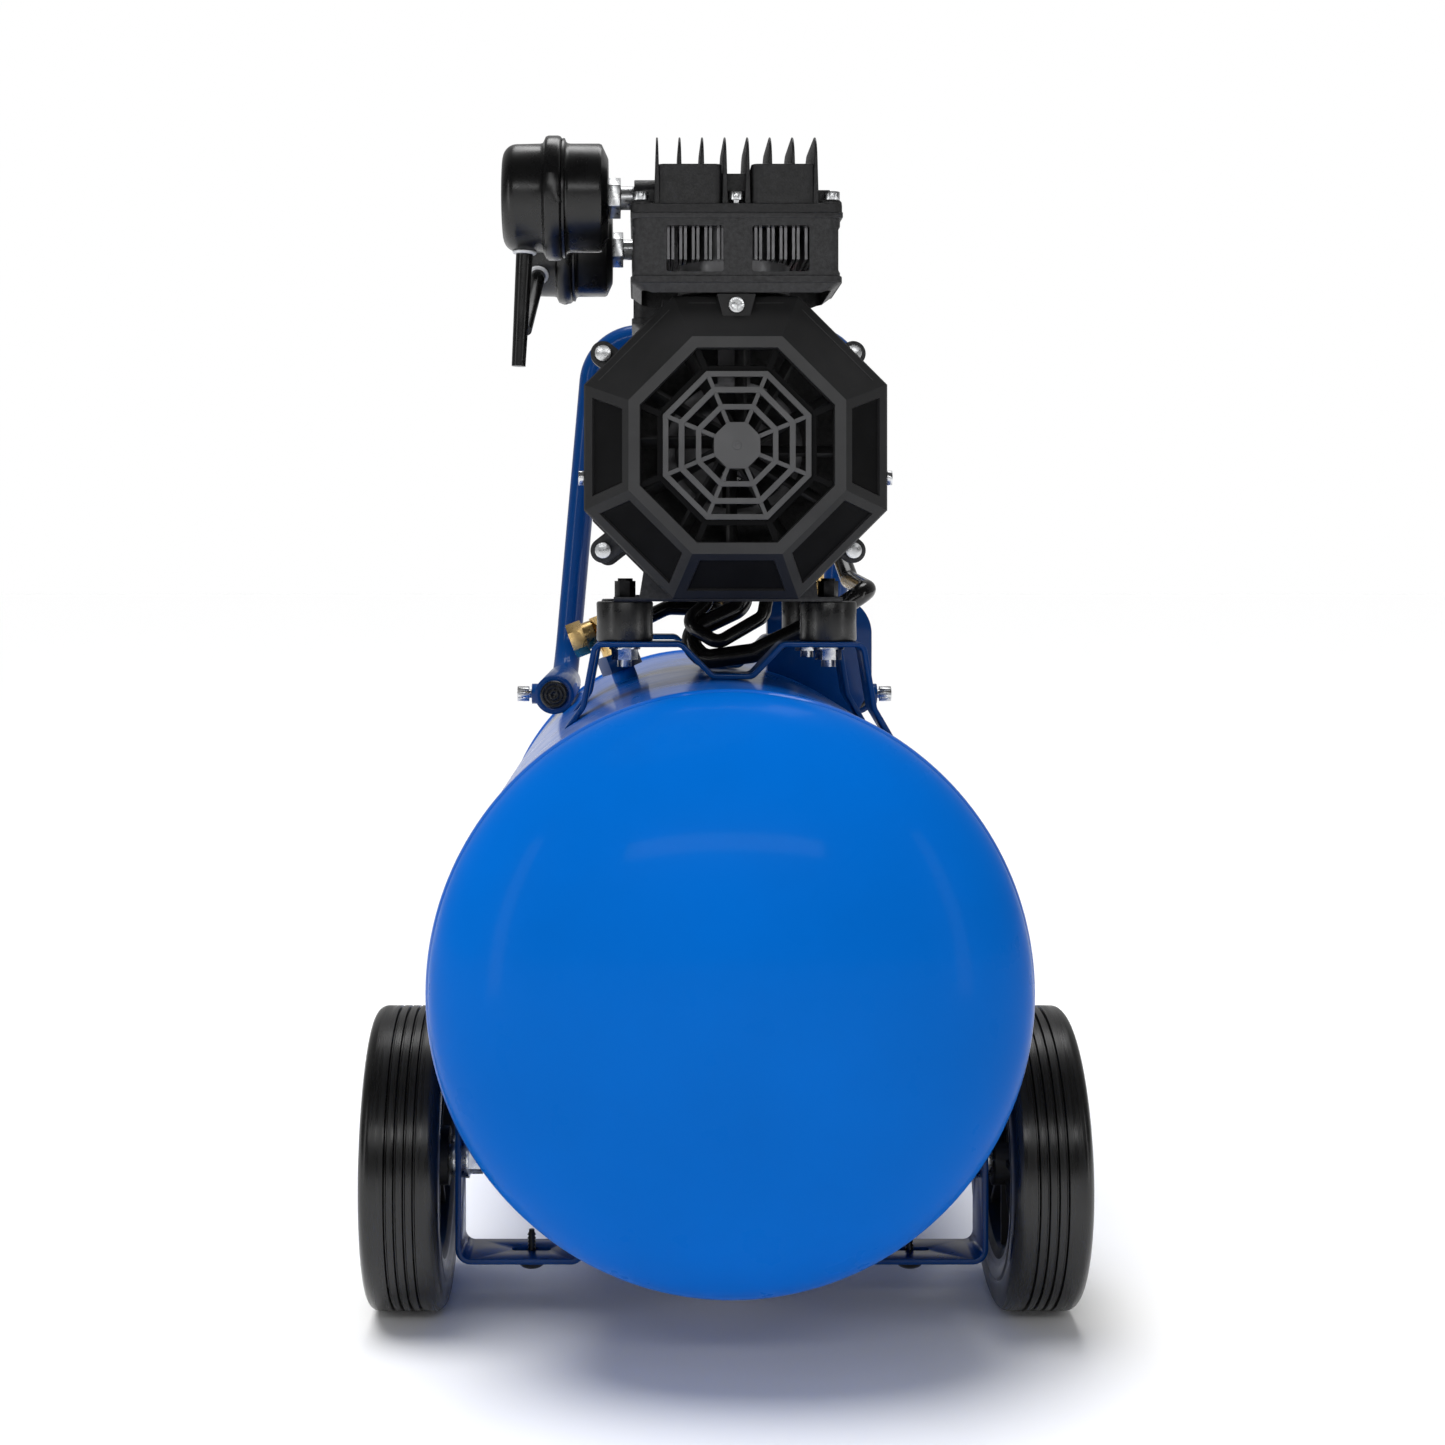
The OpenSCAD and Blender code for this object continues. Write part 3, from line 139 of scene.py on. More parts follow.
class Finish:
    """A node material whose colour, roughness and bump come from layers of noise."""

    def __init__(self, name, colour, roughness, metallic=0.0, scale=1.0):
        self.material = bpy.data.materials.new(name)
        self.material.use_nodes = True
        self.material.diffuse_color = (*colour, 1)
        tree = self.material.node_tree
        self.nodes, self.links = tree.nodes, tree.links
        self.shader = self.nodes["Principled BSDF"]
        self.colour = colour
        self.put("Base Color", (*colour, 1))
        self.put("Roughness", roughness)
        self.put("Metallic", metallic)
        coordinates = self.nodes.new("ShaderNodeTexCoord")
        mapping = self.nodes.new("ShaderNodeMapping")
        mapping.inputs["Scale"].default_value = (scale, scale, scale)
        self.links.new(coordinates.outputs["Object"], mapping.inputs["Vector"])
        self.place = mapping
        self.normal = None

    def put(self, socket, value):
        self.shader.inputs[socket].default_value = value

    def noise(self, scale, detail=3.0, stretch=None):
        """Noise whose grain is 1 / scale metres, drawn out by stretch along an axis."""
        node = self.nodes.new("ShaderNodeTexNoise")
        node.inputs["Scale"].default_value = scale
        node.inputs["Detail"].default_value = detail
        source = self.place.outputs["Vector"]
        if stretch:
            mapping = self.nodes.new("ShaderNodeMapping")
            mapping.inputs["Scale"].default_value = stretch
            self.links.new(source, mapping.inputs["Vector"])
            source = mapping.outputs["Vector"]
        self.links.new(source, node.inputs["Vector"])
        return node.outputs["Fac"]

    def spread(self, source, low, high):
        node = self.nodes.new("ShaderNodeMapRange")
        node.inputs["From Min"].default_value = 0.3
        node.inputs["From Max"].default_value = 0.7
        node.inputs["To Min"].default_value = low
        node.inputs["To Max"].default_value = high
        self.links.new(source, node.inputs["Value"])
        return node.outputs["Result"]

    def vary_colour(self, scale, darker, lighter, detail=3.0, stretch=None):
        """The colour drifts between two multiples of itself."""
        ramp = self.nodes.new("ShaderNodeValToRGB")
        ends = ramp.color_ramp.elements
        for end, factor, at in ((ends[0], darker, 0.32), (ends[1], lighter, 0.68)):
            end.position = at
            end.color = (*[min(1, part * factor) for part in self.colour], 1)
        self.links.new(self.noise(scale, detail, stretch), ramp.inputs["Fac"])
        self.links.new(ramp.outputs["Color"], self.shader.inputs["Base Color"])
        return self

    def vary_roughness(self, scale, low, high, stretch=None):
        result = self.spread(self.noise(scale, 4.0, stretch), low, high)
        self.links.new(result, self.shader.inputs["Roughness"])
        return self

    def bump(self, scale, height, strength=1.0, detail=2.0, stretch=None):
        """A layer of relief, height metres deep."""
        node = self.nodes.new("ShaderNodeBump")
        node.inputs["Strength"].default_value = strength
        node.inputs["Distance"].default_value = height
        self.links.new(self.noise(scale, detail, stretch), node.inputs["Height"])
        if self.normal:
            self.links.new(self.normal, node.inputs["Normal"])
        self.normal = node.outputs["Normal"]
        self.links.new(self.normal, self.shader.inputs["Normal"])
        return self


def plain_material(name, colour, roughness):
    return Finish(name, colour, roughness).vary_roughness(30, roughness - 0.05, roughness + 0.05).material


def enamel(name, colour, coat, shine):
    """Glossy sprayed paint with a faint orange peel."""
    finish = Finish(name, colour, 0.3)
    finish.put("Specular IOR Level", shine)
    finish.put("Coat Weight", coat)
    finish.put("Coat Roughness", 0.08)
    finish.vary_colour(9, 0.95, 1.05).vary_roughness(40, 0.26, 0.36)
    return finish.bump(420, 0.00002, 0.1).material


def moulded(name, colour, roughness, grain=1500, shine=0.5, wave=0.15):
    """Moulded plastic with a fine spark-eroded texture."""
    finish = Finish(name, colour, roughness)
    finish.put("Specular IOR Level", shine)
    finish.vary_colour(35, 0.85, 1.15).vary_roughness(60, roughness - 0.06, roughness + 0.08)
    return finish.bump(grain, 0.00006, 0.5 if wave else 0.1).bump(90, 0.0001, wave).material


def cast(name, colour, roughness, grain=900):
    """Painted casting: coarse sparkling grain."""
    finish = Finish(name, colour, roughness, metallic=0.2)
    finish.vary_colour(grain / 3, 0.6, 1.6, detail=5).vary_roughness(grain, roughness - 0.12, roughness + 0.12)
    return finish.bump(grain, 0.00018, 0.8, detail=4).material


def metal(name, colour, roughness, stretch=(1, 1, 1), scale=300):
    """Bare metal with drawn or turned marks."""
    finish = Finish(name, colour, roughness, metallic=1.0)
    finish.vary_colour(60, 0.88, 1.06).vary_roughness(scale, roughness * 0.8, roughness * 1.3, stretch)
    return finish.bump(scale, 0.00003, 0.5, stretch=stretch).material


def rubber_material(name, colour, roughness, stretch=(1, 1, 1)):
    """Rubber with faint mould marks and dust."""
    finish = Finish(name, colour, roughness)
    finish.vary_colour(70, 0.7, 1.5, detail=6).vary_roughness(160, roughness - 0.08, roughness + 0.1, stretch)
    return finish.bump(700, 0.00008, 0.5, stretch=stretch).bump(60, 0.0001, 0.06).material


def glass(name):
    finish = Finish(name, (0.95, 0.97, 0.97), 0.03)
    finish.put("Transmission Weight", 1.0)
    finish.put("IOR", 1.2)
    return finish.vary_roughness(80, 0.02, 0.06).material


MATERIALS = {
    "tank_paint": enamel("tank_paint", (0.0001, 0.108, 0.47), 0.03, 0.02),
    "shell_paint": enamel("shell_paint", (0.0002, 0.088, 0.42), 0.4, 0.1),
    # A darker copy of the tank's blue for the handle, the valve boss and the carried frame parts: the darkness is
    # painted shade.
    "frame_paint": enamel("frame_paint", (0.0006, 0.034, 0.15), 0.3, 0.1),
    "black_plastic": moulded("black_plastic", (0.012, 0.012, 0.0124), 0.5, shine=0.25),
    # Three copies of the cover's black plastic in painted tones. The first is darker, for painted shade in the sunk
    # panels and set-back grille parts. The second and third are lighter, for painted light on the face band, groove
    # lines and front grille rings, which face the front lamps.
    "cover_panel_shaded": moulded("cover_panel_shaded", (0.0055, 0.0055, 0.0057), 0.7, shine=0.05),
    "cover_rib_lit": moulded("cover_rib_lit", (0.062, 0.062, 0.063), 0.45, shine=0.35),
    "cover_band_lit": moulded("cover_band_lit", (0.027, 0.027, 0.0274), 0.45, shine=0.35),
    "blued_steel": metal("blued_steel", (0.02, 0.02, 0.021), 0.4),
    "filter_plastic": moulded("filter_plastic", (0.002, 0.002, 0.0021), 0.27, shine=0.45, wave=0),
    "cast_black": cast("cast_black", (0.006, 0.006, 0.0065), 0.5),
    "cast_dark": cast("cast_dark", (0.014, 0.014, 0.015), 0.5, grain=1300),
    "bare_aluminium": metal("bare_aluminium", (0.68, 0.69, 0.70), 0.36),
    "zinc_steel": metal("zinc_steel", (0.62, 0.63, 0.64), 0.28),
    "core_steel": metal("core_steel", (0.10, 0.10, 0.104), 0.45, (1, 12, 1)),
    # A dark copy of the bare aluminium for the barrels and fins inside the shrouds: painted shade.
    "shaded_rib_aluminium": metal("shaded_rib_aluminium", (0.16, 0.16, 0.165), 0.4),
    "copper": metal("copper", (0.62, 0.26, 0.12), 0.3),
    "brass": metal("brass", (0.68, 0.47, 0.20), 0.28),
    "tyre_rubber": rubber_material("tyre_rubber", (0.003, 0.003, 0.003), 0.28, (3, 0.1, 0.1)),
    "rubber": rubber_material("rubber", (0.005, 0.005, 0.005), 0.3),
    "hose_rubber": rubber_material("hose_rubber", (0.004, 0.004, 0.004), 0.16),
    "red_plastic": moulded("red_plastic", (0.55, 0.02, 0.015), 0.35),
    "filter_paper": plain_material("filter_paper", (0.74, 0.69, 0.55), 0.9),
    "dial_face": plain_material("dial_face", (0.82, 0.82, 0.80), 0.5),
    "dial_mark": plain_material("dial_mark", (0.01, 0.01, 0.01), 0.5),
    "white_plastic": plain_material("white_plastic", (0.55, 0.56, 0.58), 0.4),
    "glass": glass("glass"),
}


# ---- mesh building -----------------------------------------------------------------------------

class Shape:
    """Points in metres and faces, gathered from simple closed forms."""

    def __init__(self):
        self.points = []
        self.faces = []
        self.marks = []

    def add(self, points, faces, place=Matrix(), mark=0):
        start = len(self.points)
        self.points += [place @ Vector(point) for point in points]
        turned = place.determinant() < 0
        for face in faces:
            ring = [start + corner for corner in face]
            self.faces.append(ring[::-1] if turned else ring)
            self.marks.append(mark)
        return self

    def lathe(self, profile, place, sides=96, closed=False, mark=0, first=0.0):
        """Turns (radius, height) points in millimetres about the local Z axis. A radius of 0 is a pole."""
        points, rows = [], []
        for radius, height in profile:
            if radius < 1e-6:
                rows.append([len(points)] * sides)
                points.append((0, 0, height * MM))
                continue
            rows.append([len(points) + k for k in range(sides)])
            for k in range(sides):
                angle = first + 2 * pi * k / sides
                points.append((radius * cos(angle) * MM, radius * sin(angle) * MM, height * MM))
        faces = []
        pairs = list(zip(rows, rows[1:]))
        if closed:
            pairs.append((rows[-1], rows[0]))
        for low, high in pairs:
            for k in range(sides):
                n = (k + 1) % sides
                ring = [low[k], low[n], high[n], high[k]]
                ring = [corner for i, corner in enumerate(ring) if corner != ring[i - 1]]
                if len(ring) > 2:
                    faces.append(ring)
        return self.add(points, faces, place, mark)

    def loft(self, sections, place, mark=0):
        """Joins sections, each a loop of the same number of (x, y, z) in millimetres, and caps both ends."""
        n = len(sections[0])
        points = [Vector(point) * MM for section in sections for point in section]
        faces = [list(range(n))[::-1], [len(points) - n + k for k in range(n)]]
        for i in range(len(sections) - 1):
            for k in range(n):
                j = (k + 1) % n
                faces.append([i * n + k, i * n + j, (i + 1) * n + j, (i + 1) * n + k])
        return self.add(points, faces, place, mark)

    def prism(self, outline, low, high, place, mark=0):
        """An (x, y) outline in millimetres, counter-clockwise, from height low to height high."""
        return self.loft([[(x, y, z) for x, y in outline] for z in (low, high)], place, mark)

    def frame_ring(self, outer, inner, low, high, place, mark=0):
        """A hollow prism between two outlines with the same number of corners."""
        n = len(outer)
        points = [Vector((x, y, z)) * MM
                  for z in (low, high) for loop in (outer, inner) for x, y in loop]
        faces = []
        for k in range(n):
            j = (k + 1) % n
            faces.append([k, j, 2 * n + j, 2 * n + k])
            faces.append([n + j, n + k, 3 * n + k, 3 * n + j])
            faces.append([j, k, n + k, n + j])
            faces.append([2 * n + k, 2 * n + j, 3 * n + j, 3 * n + k])
        return self.add(points, faces, place, mark)

    def box(self, low, high, place=Matrix(), mark=0):
        outline = [(low[0], low[1]), (high[0], low[1]), (high[0], high[1]), (low[0], high[1])]
        return self.prism(outline, low[2], high[2], place, mark)

    def sweep(self, route, radius, sides=24, place=Matrix(), mark=0):
        """A round bar along route, a list of points in metres; radius is a number or a function of the distance."""
        points = [Vector(point) for point in route]
        ahead = [(b - a).normalized() for a, b in zip(points, points[1:])]
        tangents = [ahead[0]] + [(a + b).normalized() for a, b in zip(ahead, ahead[1:])] + [ahead[-1]]
        side = tangents[0].orthogonal().normalized()
        rings, walked = [], 0.0
        for i, (point, tangent) in enumerate(zip(points, tangents)):
            side = (side - tangent * side.dot(tangent)).normalized()
            up = tangent.cross(side)
            if i:
                walked += (point - points[i - 1]).length
            reach = radius(walked) if callable(radius) else radius
            angles = [2 * pi * k / sides for k in range(sides)]
            rings.append([(point + reach * (side * cos(a) + up * sin(a))) / MM for a in angles])
        return self.loft(rings, place, mark)

    def piece(self, name, materials, body, slot, replaces=(), smooth=38, bevel=0.0, segments=2):
        """Makes the object, gives it its finish and lets it ride on its body."""
        mesh = bpy.data.meshes.new(name)
        mesh.from_pydata([tuple(point) for point in self.points], [], self.faces)
        mesh.validate()
        for material in materials:
            mesh.materials.append(MATERIALS[material])
        mesh.polygons.foreach_set("material_index", self.marks)
        mesh.shade_smooth()
        mesh.set_sharp_from_angle(angle=radians(smooth))
        obj = bpy.data.objects.new(name, mesh)
        bpy.context.scene.collection.objects.link(obj)
        if bevel:
            add_bevel(obj, bevel, segments)
        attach(obj, body)
        if replaces:
            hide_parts(*replaces)
        return obj


def add_bevel(obj, width, segments=2, angle=32):
    bevel = obj.modifiers.new("edges", "BEVEL")
    bevel.width = width * MM
    bevel.segments = segments
    bevel.limit_method = "ANGLE"
    bevel.angle_limit = radians(angle)
    bevel.use_clamp_overlap = True
    bevel.harden_normals = True


def mid(node):
    low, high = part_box(node)
    return (low + high) / 2


def reach(node):
    """Half of a node's box along each axis, in millimetres."""
    low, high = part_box(node)
    return (high - low) / 2 / MM


def towards(origin, axis, up=(0, 0, 1)):
    """A place whose local Z points along axis and whose local Y leans towards up."""
    z = Vector(axis).normalized()
    y = Vector(up)
    y = (y - z * y.dot(z)).normalized()
    x = y.cross(z)
    turn = Matrix((x, y, z)).transposed().to_4x4()
    return Matrix.Translation(origin) @ turn


def arc(cx, cy, radius, start, stop, steps):
    """Points in millimetres on an arc, with angles in degrees."""
    angles = [radians(start + (stop - start) * k / steps) for k in range(steps + 1)]
    return [(cx + radius * cos(a), cy + radius * sin(a)) for a in angles]


def rounded_rectangle(half_x, half_y, radius, steps=5):
    x, y = half_x - radius, half_y - radius
    return (arc(x, y, radius, 0, 90, steps) + arc(-x, y, radius, 90, 180, steps)
            + arc(-x, -y, radius, 180, 270, steps) + arc(x, -y, radius, 270, 360, steps))


def octagon(across):
    radius = across / 2 / cos(pi / 8)
    return [(radius * cos(pi / 8 + k * pi / 4), radius * sin(pi / 8 + k * pi / 4)) for k in range(8)]


def rounded_route(corners, radius, steps=8):
    """The corners of a route in metres, with each inner one turned into an arc."""
    points = [Vector(corners[0])]
    for before, here, after in zip(corners, corners[1:], corners[2:]):
        here = Vector(here)
        coming = (here - Vector(before)).normalized()
        going = (Vector(after) - here).normalized()
        turn = coming.angle(going)
        if turn < 0.02:
            points.append(here)
            continue
        inward = (going - coming).normalized()
        centre = here + inward * radius / cos(turn / 2)
        start = here - coming * radius * tan(turn / 2) - centre
        axis = coming.cross(going).normalized()
        points += [centre + Matrix.Rotation(turn * k / steps, 3, axis) @ start for k in range(steps + 1)]
    return points + [Vector(corners[-1])]


# ---- tank --------------------------------------------------------------------------------------

def tank_frame():
    centre = mid("tank_shell")
    half = reach("tank_shell")
    return centre, half.z - 0.8, half.y


def weld_bead(radius, at, width=7, height=1.5):
    """The section of a round weld bead on a shell of that radius."""
    steps = 6
    return [(radius + height * sin(pi * k / steps), at + width * (k / steps - 0.5)) for k in range(steps + 1)]


def make_tank():
    centre, radius, half = tank_frame()
    along = towards(centre, (0, 1, 0))
    shell = Shape()
    profile = [(radius - 2.5, -half), (radius - 2.5, half), (radius, half)]
    profile += [(radius, half * (1 - k / 8)) for k in range(1, 16)] + [(radius, -half)]
    shell.lathe(profile, along, sides=192, closed=True)
    for side in (-1, 1):
        at = side * (half - 2)
        shell.lathe(weld_bead(radius, at) + [(radius - 1, at + 3), (radius - 1, at - 3)], along, 192,
                    closed=True)
    seam = radians(205)
    lift = Vector((sin(seam), 0, cos(seam))) * radius * MM
    ends = [centre + lift + Vector((0, side * (half - 6) * MM, 0)) for side in (-1, 1)]
    shell.sweep(ends, 0.0022, 12)
    shell.piece("tank_shell_skin", ["shell_paint"], CHASSIS, "tank_paint", ["tank_shell"])
    for node, side in (("tank_front_head", -1), ("tank_rear_head", 1)):
        depth = reach(node).y * 2
        steps = 40
        arcs = [(radius * sin(pi / 2 * k / steps), depth * cos(pi / 2 * k / steps))
                for k in range(steps + 1)]
        inside = [((radius - 2.5) * sin(pi / 2 * k / steps), (depth - 2.5) * cos(pi / 2 * k / steps))
                  for k in range(steps, -1, -1)]
        head = Shape()
        place = towards(centre + Vector((0, side * half * MM, 0)), (0, side, 0))
        head.lathe([*inside[::-1], *arcs[::-1]][::-1], place, sides=192)
        head.piece(node + "_skin", ["tank_paint"], CHASSIS, "tank_paint", [node])


# ---- handle ------------------------------------------------------------------------------------

def make_handle():
    low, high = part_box("handle_tube")
    radius = 0.010
    leg_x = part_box("handle_end_plugs")[1].x - 0.0097
    leg_z = mid("lock_screw_left").z
    bar_y, bar_z = high.y - radius, high.z - radius
    lean = high.x - radius - leg_x
    bend = 0.038
    corners = [
        (-leg_x, low.y, leg_z), (-leg_x, bar_y, leg_z), (lean - leg_x, bar_y, bar_z),
        (lean + leg_x, bar_y, bar_z), (leg_x, bar_y, leg_z), (leg_x, low.y, leg_z)]
    tube = Shape()
    tube.sweep(rounded_route(corners, bend, 20), radius - 0.00002, 48)
    # The handle takes the darker frame blue: painted shade.
    tube.piece("handle_bar", ["frame_paint"], "handle", "frame_paint", ["handle_tube"])


# ---- wheels and rubber -------------------------------------------------------------------------

def make_tyre(node, side):
    centre = mid(node)
    half = reach(node)
    radius, width = half.z, half.x * 2
    inner, groove, shoulder = 55, 1.7, 7
    place = towards(centre - Vector((side * half.x * MM, 0, 0)), (side, 0, 0))
    wall = [(inner, 2), (inner + 3, 1.6), (inner + 5, 0.8), (inner + 9, 0.4), (radius - 17, 0.2),
            (radius - 15.5, 0.9), (radius - 14, 0.2)]
    wall += [(radius - shoulder + shoulder * sin(radians(a)), shoulder - 1 - (shoulder - 1) * cos(radians(a)))
             for a in range(10, 91, 8)]
    tread = []
    for at in (12.5, 17.5, 22.5, 27.5):
        tread += [(radius, at - 0.9), (radius - groove, at - 0.25),
                  (radius - groove, at + 0.25), (radius, at + 0.9)]
    outer = [(r, width - z) for r, z in reversed(wall)]
    tyre = Shape()
    tyre.lathe(wall + tread + outer, place, sides=160, closed=True)
    tyre.piece(node + "_solid", ["tyre_rubber"], "wheel_left" if side < 0 else "wheel_right", "tyre_rubber",
               [node], smooth=30)


def make_mounts():
    """Straight rubber buffers with slightly rounded ends."""
    low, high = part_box("vibration_mounts")
    height = (high.z - low.z) / MM
    radius = 16
    buffers = Shape()
    for x in (low.x + radius * MM, high.x - radius * MM):
        for y in (low.y + radius * MM, high.y - radius * MM):
            buffers.lathe([(0, 0), (radius - 1, 0), (radius - 0.3, 0.4), (radius, 1.2), (radius - 0.25, height / 2),
                           (radius, height - 1.2), (radius - 0.3, height - 0.4), (radius - 1, height), (0, height)],
                          Matrix.Translation((x, y, low.z)), 64)
    buffers.piece("mount_buffers", ["rubber"], CHASSIS, "rubber", ["vibration_mounts"])


BORE = 60


# ---- pump: covers, heads, shrouds --------------------------------------------------------------

COVER_NODES = {-1: "fan_cover_front", 1: "fan_cover_rear"}


def pump_centre():
    shaft = mid("shaft")
    return Vector((shaft.x, shaft.y, shaft.z))


def pump_end(side):
    """A place on the shaft's axis at the motor's middle: Z points out, Y up and X to the right."""
    turn = Matrix(((1, 0, 0), (0, 0, side), (0, 1, 0))).to_4x4()
    return Matrix.Translation(pump_centre()) @ turn


def cylinder_place(side):
    """The foot of a cylinder's axis at height 0."""
    low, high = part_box("valve_plates")
    depth = 37 * MM
    y = low.y + depth if side < 0 else high.y - depth
    return Matrix.Translation(((low.x + high.x) / 2, y, 0))


def facet_recess(shape, corners, inset, depth, place):
    """A four-cornered facet with a sunk panel. corners run outer left, outer right, inner right, inner left,
    and inset is the margin at the outer, inner and side edges in millimetres."""
    outer_left, outer_right, inner_right, inner_left = [Vector(corner) for corner in corners]
    margin_outer, margin_inner, margin_side = inset
    run = ((inner_left + inner_right) - (outer_left + outer_right)) / 2
    across = (outer_right - outer_left).normalized()
    normal = across.cross(run).normalized()
    top = margin_outer / run.length
    low = 1 - margin_inner / run.length

    def edge(t, left):
        start, stop = (outer_left, inner_left) if left else (outer_right, inner_right)
        return start.lerp(stop, t) + across * (margin_side if left else -margin_side)
    brim = [edge(top, True), edge(top, False), edge(low, False), edge(low, True)]
    middle = sum(brim, Vector()) / 4
    floor = [middle.lerp(point, 0.97) - normal * depth for point in brim]
    points = [outer_left, outer_right, inner_right, inner_left, *brim, *floor]
    rim = [[k, (k + 1) % 4, 4 + (k + 1) % 4, 4 + k] for k in range(4)]
    wall = [[4 + k, 4 + (k + 1) % 4, 8 + (k + 1) % 4, 8 + k] for k in range(4)]
    metres = [point * MM for point in points]
    shape.add(metres, rim + wall, place)
    # The sunk floor takes mark 1, the darker cover finish: painted shade in the recess.
    shape.add([metres[k] for k in range(8, 12)], [[0, 1, 2, 3]], place, mark=1)


def facet_groove(shape, corners, place, split):
    """A four-cornered facet with a shallow line along its outer edge, in two halves if split. The line is drawn as
    a thin raised strip in the lighter band finish: a painted highlight.
    """
    outer_left, outer_right, inner_right, inner_left = [Vector(corner) for corner in corners]
    run = ((inner_left + inner_right) - (outer_left + outer_right)) / 2
    span = (outer_right - outer_left).length
    across = (outer_right - outer_left).normalized()
    down = run.normalized()
    normal = across.cross(run).normalized()
    shape.add([point * MM for point in (outer_left, outer_right, inner_right, inner_left)], [[0, 1, 2, 3]], place)
    pieces = [(span * 0.12, span * 0.34), (span * 0.66, span * 0.88)] if split else [(span * 0.1, span * 0.9)]
    for start, stop in pieces:
        corner = outer_left + down * 4.6 + normal * 0.05
        ring = [corner + across * start, corner + across * stop, corner + across * stop + down * 0.6,
                corner + across * start + down * 0.6]
        raised = [point + normal * 0.12 for point in ring]
        points = [point * MM for point in ring + raised]
        walls = [[k, (k + 1) % 4, 4 + (k + 1) % 4, 4 + k] for k in range(4)]
        # mark 2 is the lighter band finish: painted highlight on the line.
        shape.add(points, walls + [[4, 5, 6, 7], [3, 2, 1, 0]], place, mark=2)


def make_fan_cover(side):
    place = pump_end(side)
    node = COVER_NODES[side]
    across = reach(node).x * 2
    front = abs((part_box(node)[0 if side < 0 else 1].y - pump_centre().y) / MM)
    slope = front - 20
    skirt = front - 38
    face = 117
    shell = Shape()
    levels = [(across, skirt), (across, slope - 1.5), (across - 1.6, slope), (face, front), (face - 12, front),
              (face - 13, front - 1), (face - 13, front - 7), (face - 8, front - 7), (across - 6, slope - 2.5),
              (across - 5, skirt)]
    rings = [[(x, y, z) for x, y in octagon(af)] for af, z in levels]
    count = len(rings)
    points = [Vector(point) * MM for ring in rings for point in ring]
    for i in range(count):
        j = (i + 1) % count
        if i == 2:
            continue
        faces = [[i * 8 + k, i * 8 + (k + 1) % 8, j * 8 + (k + 1) % 8, j * 8 + k] for k in range(8)]
        # Ring 3, the face band, takes mark 2, the lighter band finish: painted light on the face that looks at the
        # front lamps.
        shell.add(points, faces, place, mark=2 if i == 3 else 0)
    for k in range(8):
        n = (k + 1) % 8
        corners = [rings[2][k], rings[2][n], rings[3][n], rings[3][k]]
        if k in (0, 1, 2):
            facet_groove(shell, corners, place, split=k == 1)
        else:
            facet_recess(shell, corners, (5, 4.5, 5.5), 1.5, place)
    tab = [(-10.5, across / 2 - 0.4), (-7, 69), (-3, 66), (3, 66), (7, 69), (10.5, across / 2 - 0.4)]
    shell.prism(tab, slope - 2, front - 10.4, place)
    shell.piece(node + "_shell", ["black_plastic", "cover_panel_shaded", "cover_band_lit"], CHASSIS, "black_plastic", [node],
                smooth=25, bevel=0.7)
    web = Shape()
    back = front - 5
    # Front rings, hub and spokes take the lighter rib finish, which is painted light. The set-back outer ring and
    # strut ends (mark 1) take the darker panel finish, which is painted shade.
    web.frame_ring(octagon(86), octagon(79), back - 1, front - 3.4, place, mark=1)
    web.frame_ring(octagon(80), octagon(74), back, front - 2, place)
    web.frame_ring(octagon(63), octagon(56.7), back, front - 1.6, place)
    web.frame_ring(octagon(44.4), octagon(38.6), back, front - 1.6, place)
    web.prism(octagon(25), back, front - 1.4, place)
    web.lathe([(0.6, front - 1.5), (2.6, front - 1.5), (2.3, front - 1.0), (0.9, front - 1.2)], place, 32,
              closed=True)
    for k in range(8):
        turn = place @ Matrix.Rotation(pi / 8 + k * pi / 4, 4, "Z")
        web.box((12, -1.15, back + 0.3), (42, 1.15, front - 1.9), turn)
        web.box((44, -1.7, back - 1), (57, 1.7, front - 3), turn, mark=1)
    web.piece(node + "_grille", ["cover_rib_lit", "cover_panel_shaded"], CHASSIS, "black_plastic", [node],
              smooth=25, bevel=0.5)


def fin_outline(half, low, high, radius):
    """A fin seen from the side: square at the root, rounded at its two top corners."""
    return ([(half, low)] + arc(half - radius, high - radius, radius, 0, 90, 8)
            + arc(-half + radius, high - radius, radius, 90, 180, 8) + [(-half, low)])


def add_fin(shape, x, place, half, low, high, root, tip):
    outline = fin_outline(half, low, high, 12)
    rows = []
    for side in (-1, 1):
        rows.append([(x + side * (root + (tip - root) * (z - low) / (high - low)), y, z) for y, z in outline])
    shape.loft(rows, place)


